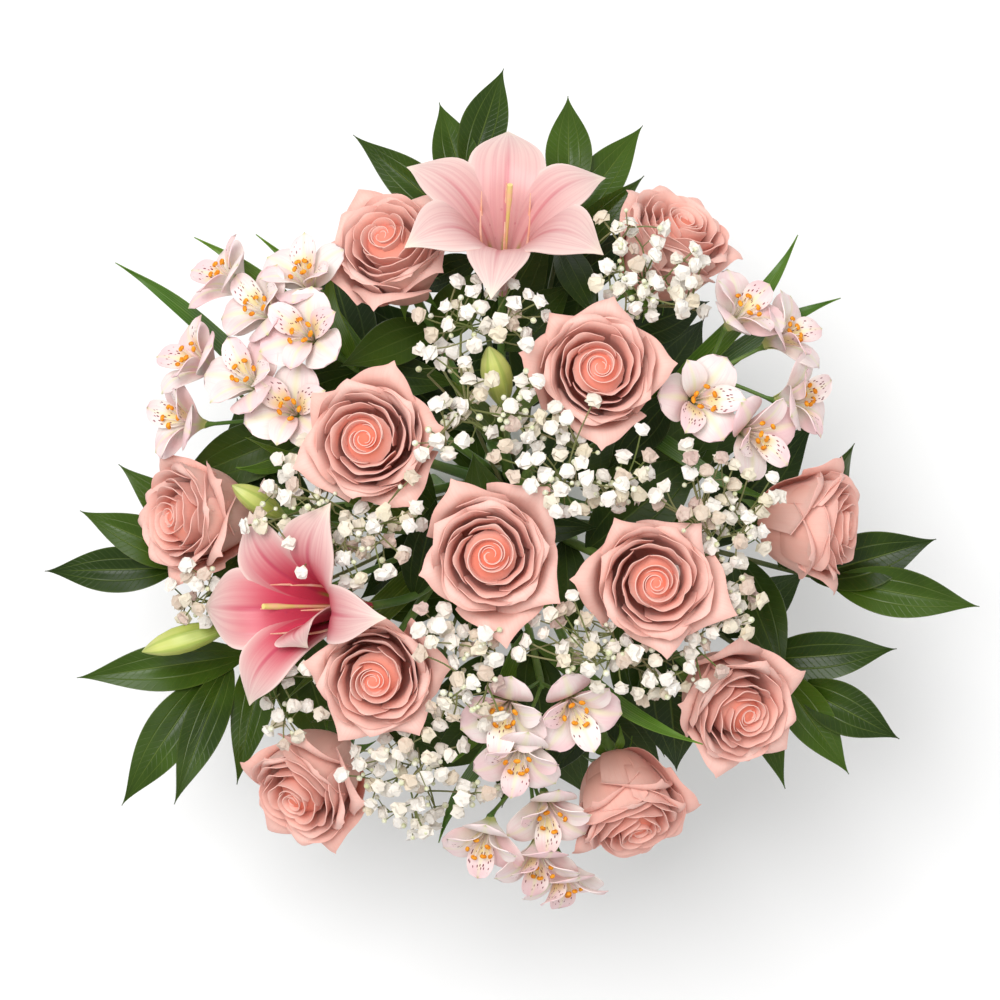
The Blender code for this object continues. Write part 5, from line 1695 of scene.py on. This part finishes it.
def breath_spray(key, path, spray, filler, patterns, bead):
    """Thin branching twigs with white double florets and round buds."""
    dice = random.Random("fine breath " + key)
    ways = []
    for a, b in spray.twigs:
        bend = bent_middle(a, b, dice)
        ways.append((curved([a, bend, b], 4), [0.65] * 9))
    seats, buds = [], []
    for foot, centre, axis in spray.florets:
        seats.append((centre, axis, FLORET * dice.uniform(0.92, 1.02), dice.uniform(0, 6)))
        end = centre - axis * 0.42 * FLORET
        bend = bent_middle(foot, end, dice)
        ways.append((curved([foot, bend, end], 3), [0.5] * 7))
        for _ in range(dice.choice((1, 1, 2))):
            start = foot + (end - foot) * dice.uniform(0.3, 0.8)
            side = unit(np.array([dice.uniform(-1, 1), dice.uniform(-1, 1), 0.7]))
            tip = start + side * dice.uniform(6, 12)
            if filler.tree.find(Vector(tip))[2] > 3.0:
                buds.append((tip, side, dice.uniform(1.2, 2.0), 0.0))
                ways.append(([start, tip], [0.32, 0.32]))
    found, stalks, more = filler.grow(path, spray, MORE[key], dice)
    parts = [
        scattered("florets", patterns, seats + found, WHITE),
        scattered("beads", [bead], buds + more, CREAM),
        rods("twigs", ways + stalks, THIN, 0),
    ]
    parts += stem_of(path, [1.4] * 3 + [1.2] * 3, THIN, dice)
    return finished(joined(f"breath_{key}_spray", parts), "breath", f"breath_{key}", angle=22)


TWINE_TURNS = 4
TWINE_HIGH = 9.4  # from the lowest turn to the highest
TWINE_HAIRS = 110


def twine(spots, radii):
    """Turns of three-ply jute round the stems, with a flat knot and short ends."""
    inner = max(np.linalg.norm(p) + r * 1.06 for p, r in zip(spots, radii)) + 0.35
    middle = inner + 1.5
    dice = random.Random("twine")

    def ply(u, v):
        """The cord's surface: three strands twisted together."""
        a = 2 * math.pi * (TWINE_TURNS * v)
        twist = math.pi * u + 300 * v
        r = 1.25 + 0.2 * math.cos(3 * (math.pi * u))
        out = middle + r * math.cos(twist)
        z = WAIST - TWINE_HIGH / 2 + TWINE_HIGH * v + r * math.sin(twist)
        return out * math.cos(a), out * math.sin(a), z

    cord = sealed(laid("cord", ply, JUTE, (13, 420)))
    ends = []
    for side in (-1, 1):
        start = np.array([0.0, -middle - 1.2, WAIST])
        points = [
            start,
            start + np.array([side * 2.6, -1.6, 1.8 * side]),
            start + np.array([side * 5.0, -0.6, -1.0]),
            start + np.array([side * 8.0, -1.2, -6.0 - 2 * side]),
            start + np.array([side * 9.0, -1.6, -13.0 - 3 * side]),
        ]
        ends.append((curved(points, 5), [1.2] * 21))
    knot = []
    for t in np.linspace(-2.6, 2.6, 9):
        knot.append(np.array([t, -middle - 2.0 - 0.8 * math.cos(t * 0.6), WAIST + 1.5 * math.sin(t)]))
    ends.append((knot, [1.3] * 9))
    hairs = []
    for _ in range(TWINE_HAIRS):
        a = dice.uniform(0, 2 * math.pi)
        c, s = math.cos(a), math.sin(a)
        base = np.array([(middle + 1.1) * c, (middle + 1.1) * s, WAIST + dice.uniform(-5, 5)])
        way = unit(np.array([c * 0.7 - s, s * 0.7 + c, dice.uniform(-0.8, 0.8)]))
        hairs.append(([base, base + way * dice.uniform(1.5, 4)], [0.09, 0.04]))
    parts = [cord, rods("ends", ends, JUTE), rods("hairs", hairs, JUTE, 0)]
    return finished(joined("twine_tie", parts), "twine", "tie")


STEMS = [("rose", key, RADII["rose"], rose_seat(key).base) for key in ROSES]
STEMS += [("lily", key, RADII["lily"], lily_seat(key).base) for key in LILIES]
for kind, table in (("alstroemeria", ALSTROEMERIA), ("branch", BRANCHES), ("breath", BREATH)):
    STEMS += [(kind, key, RADII[kind], np.array(table[key][0], float)) for key in table]

waist = pack_waist([waist_wish(radius, base) for _, _, radius, base in STEMS])
PATHS = {(kind, key): path_of(kind, key, p) for (kind, key, _, _), p in zip(STEMS, waist)}
part_paths(PATHS, {(kind, key): radius for kind, key, radius, _ in STEMS})
taken = taken_points(PATHS)
twigs = []
for key in BREATH:
    twigs += [on_path(PATHS["breath", key], t / 60) for t in range(10, 61)]
inner, spots = inner_leaves(PATHS, tree_of(taken + twigs))
tree = tree_of(taken + spots)
sprays = {}
others = []
for key in BREATH:
    stems = []
    for other in BREATH:
        if other != key:
            path = PATHS["breath", other]
            stems += [(on_path(path, 0.25 + 0.75 * t / 60), 0.0) for t in range(61)]
    sprays[key] = Spray(key, PATHS["breath", key], tree, others + stems)
    others += sprays[key].spots()

for key in ROSES:
    rose_bloom(key)
    rose_stem(key, PATHS["rose", key], leaves_on("rose", key))
for key in LILIES:
    lily_bloom(key, LILY_DEPTH[key])
for key in LILIES:
    lily_stem(key, PATHS["lily", key], leaves_on("lily", key))
for key in ALSTROEMERIA:
    alstroemeria_head(key)
    alstroemeria_stem(key, PATHS["alstroemeria", key], leaves_on("alstroemeria", key))
for key in BRANCHES:
    leafy_branch(key, PATHS["branch", key], leaves_on("branch", key))
leaf_points = []
for (kind, key), path in PATHS.items():
    for spot, tip, half, arch in LOW_LEAVES.get((kind, key), ()):
        surface = leaf_surface(on_path(path, spot), tip, half, arch, 0.3)
        leaf_points += [surface(u, v / 14) for u in (-1, -0.5, 0, 0.5, 1) for v in range(15)]
throats = []
for key in LILIES:
    seat = lily_seat(key)
    for r in (0, 9, 18, 27):
        for a in range(6):
            x, y = r * math.cos(a), r * math.sin(a)
            throats += [seat.out(x, y, 28 + 0.9 * r + h) for h in (0, 10, 20, 30)]
filler = Filler(tree_of(taken + spots + leaf_points + throats), sprays)
patterns, bead = [floret_pattern(n) for n in (1, 2, 3, 4)], bud_pattern()
for key in BREATH:
    breath_spray(key, PATHS["breath", key], sprays[key], filler, patterns, bead)
twine(waist, [radius for _, _, radius, _ in STEMS])

for mesh in list(GRIDS.values()) + patterns + [bead]:
    bpy.data.meshes.remove(mesh)

FLOOR_WIDE = 8.0
FLOOR_WHITE = (0.95, 0.95, 0.95, 1)
SKY_STRENGTH = 0.58
CAMERA_HIGH = 1.77  # the photograph is taken from straight above
SEEN_WIDE = 0.55  # what the photograph shows across, at this distance from the camera
SEEN_FAR = 1.5
FILM = 36.0  # in the camera's own millimetres

bpy.ops.object.select_all(action="DESELECT")
bpy.ops.mesh.primitive_plane_add(size=FLOOR_WIDE, location=(0, 0, 0))
floor = bpy.context.object
floor.name = "floor"
paper = Finish("White floor", 0.9, 0.1)
paper.colour(FLOOR_WHITE)
floor.data.materials.append(paper.made)

world = bpy.data.worlds.new("Studio")
bpy.context.scene.world = world
world.use_nodes = True
sky = world.node_tree.nodes["Background"]
sky.inputs["Color"].default_value = (1.0, 1.0, 1.0, 1)
sky.inputs["Strength"].default_value = SKY_STRENGTH
bpy.context.scene.view_settings.view_transform = "Standard"


def lamp(name, spot, size, power):
    """A square soft light at spot that shines at the middle of the flowers."""
    data = bpy.data.lights.new(name, "AREA")
    data.size = size
    data.energy = power
    made = shown(name, data)
    made.location = spot
    made.rotation_euler = (Vector((0, 0, 0.25)) - Vector(spot)).to_track_quat("-Z", "Y").to_euler()


lamp("Key", (-0.45, 0.55, 2.2), 1.2, 38)
lamp("Fill", (0.9, -0.6, 2.3), 1.6, 8)

lens = bpy.data.cameras.new("Camera")
lens.sensor_width = FILM
lens.lens = FILM * SEEN_FAR / SEEN_WIDE
lens.clip_start = 0.01
lens.clip_end = 50
camera = shown("Camera", lens)
camera.location = (MOVE_X * 0.001, MOVE_Y * 0.001, CAMERA_HIGH)
bpy.context.scene.camera = camera
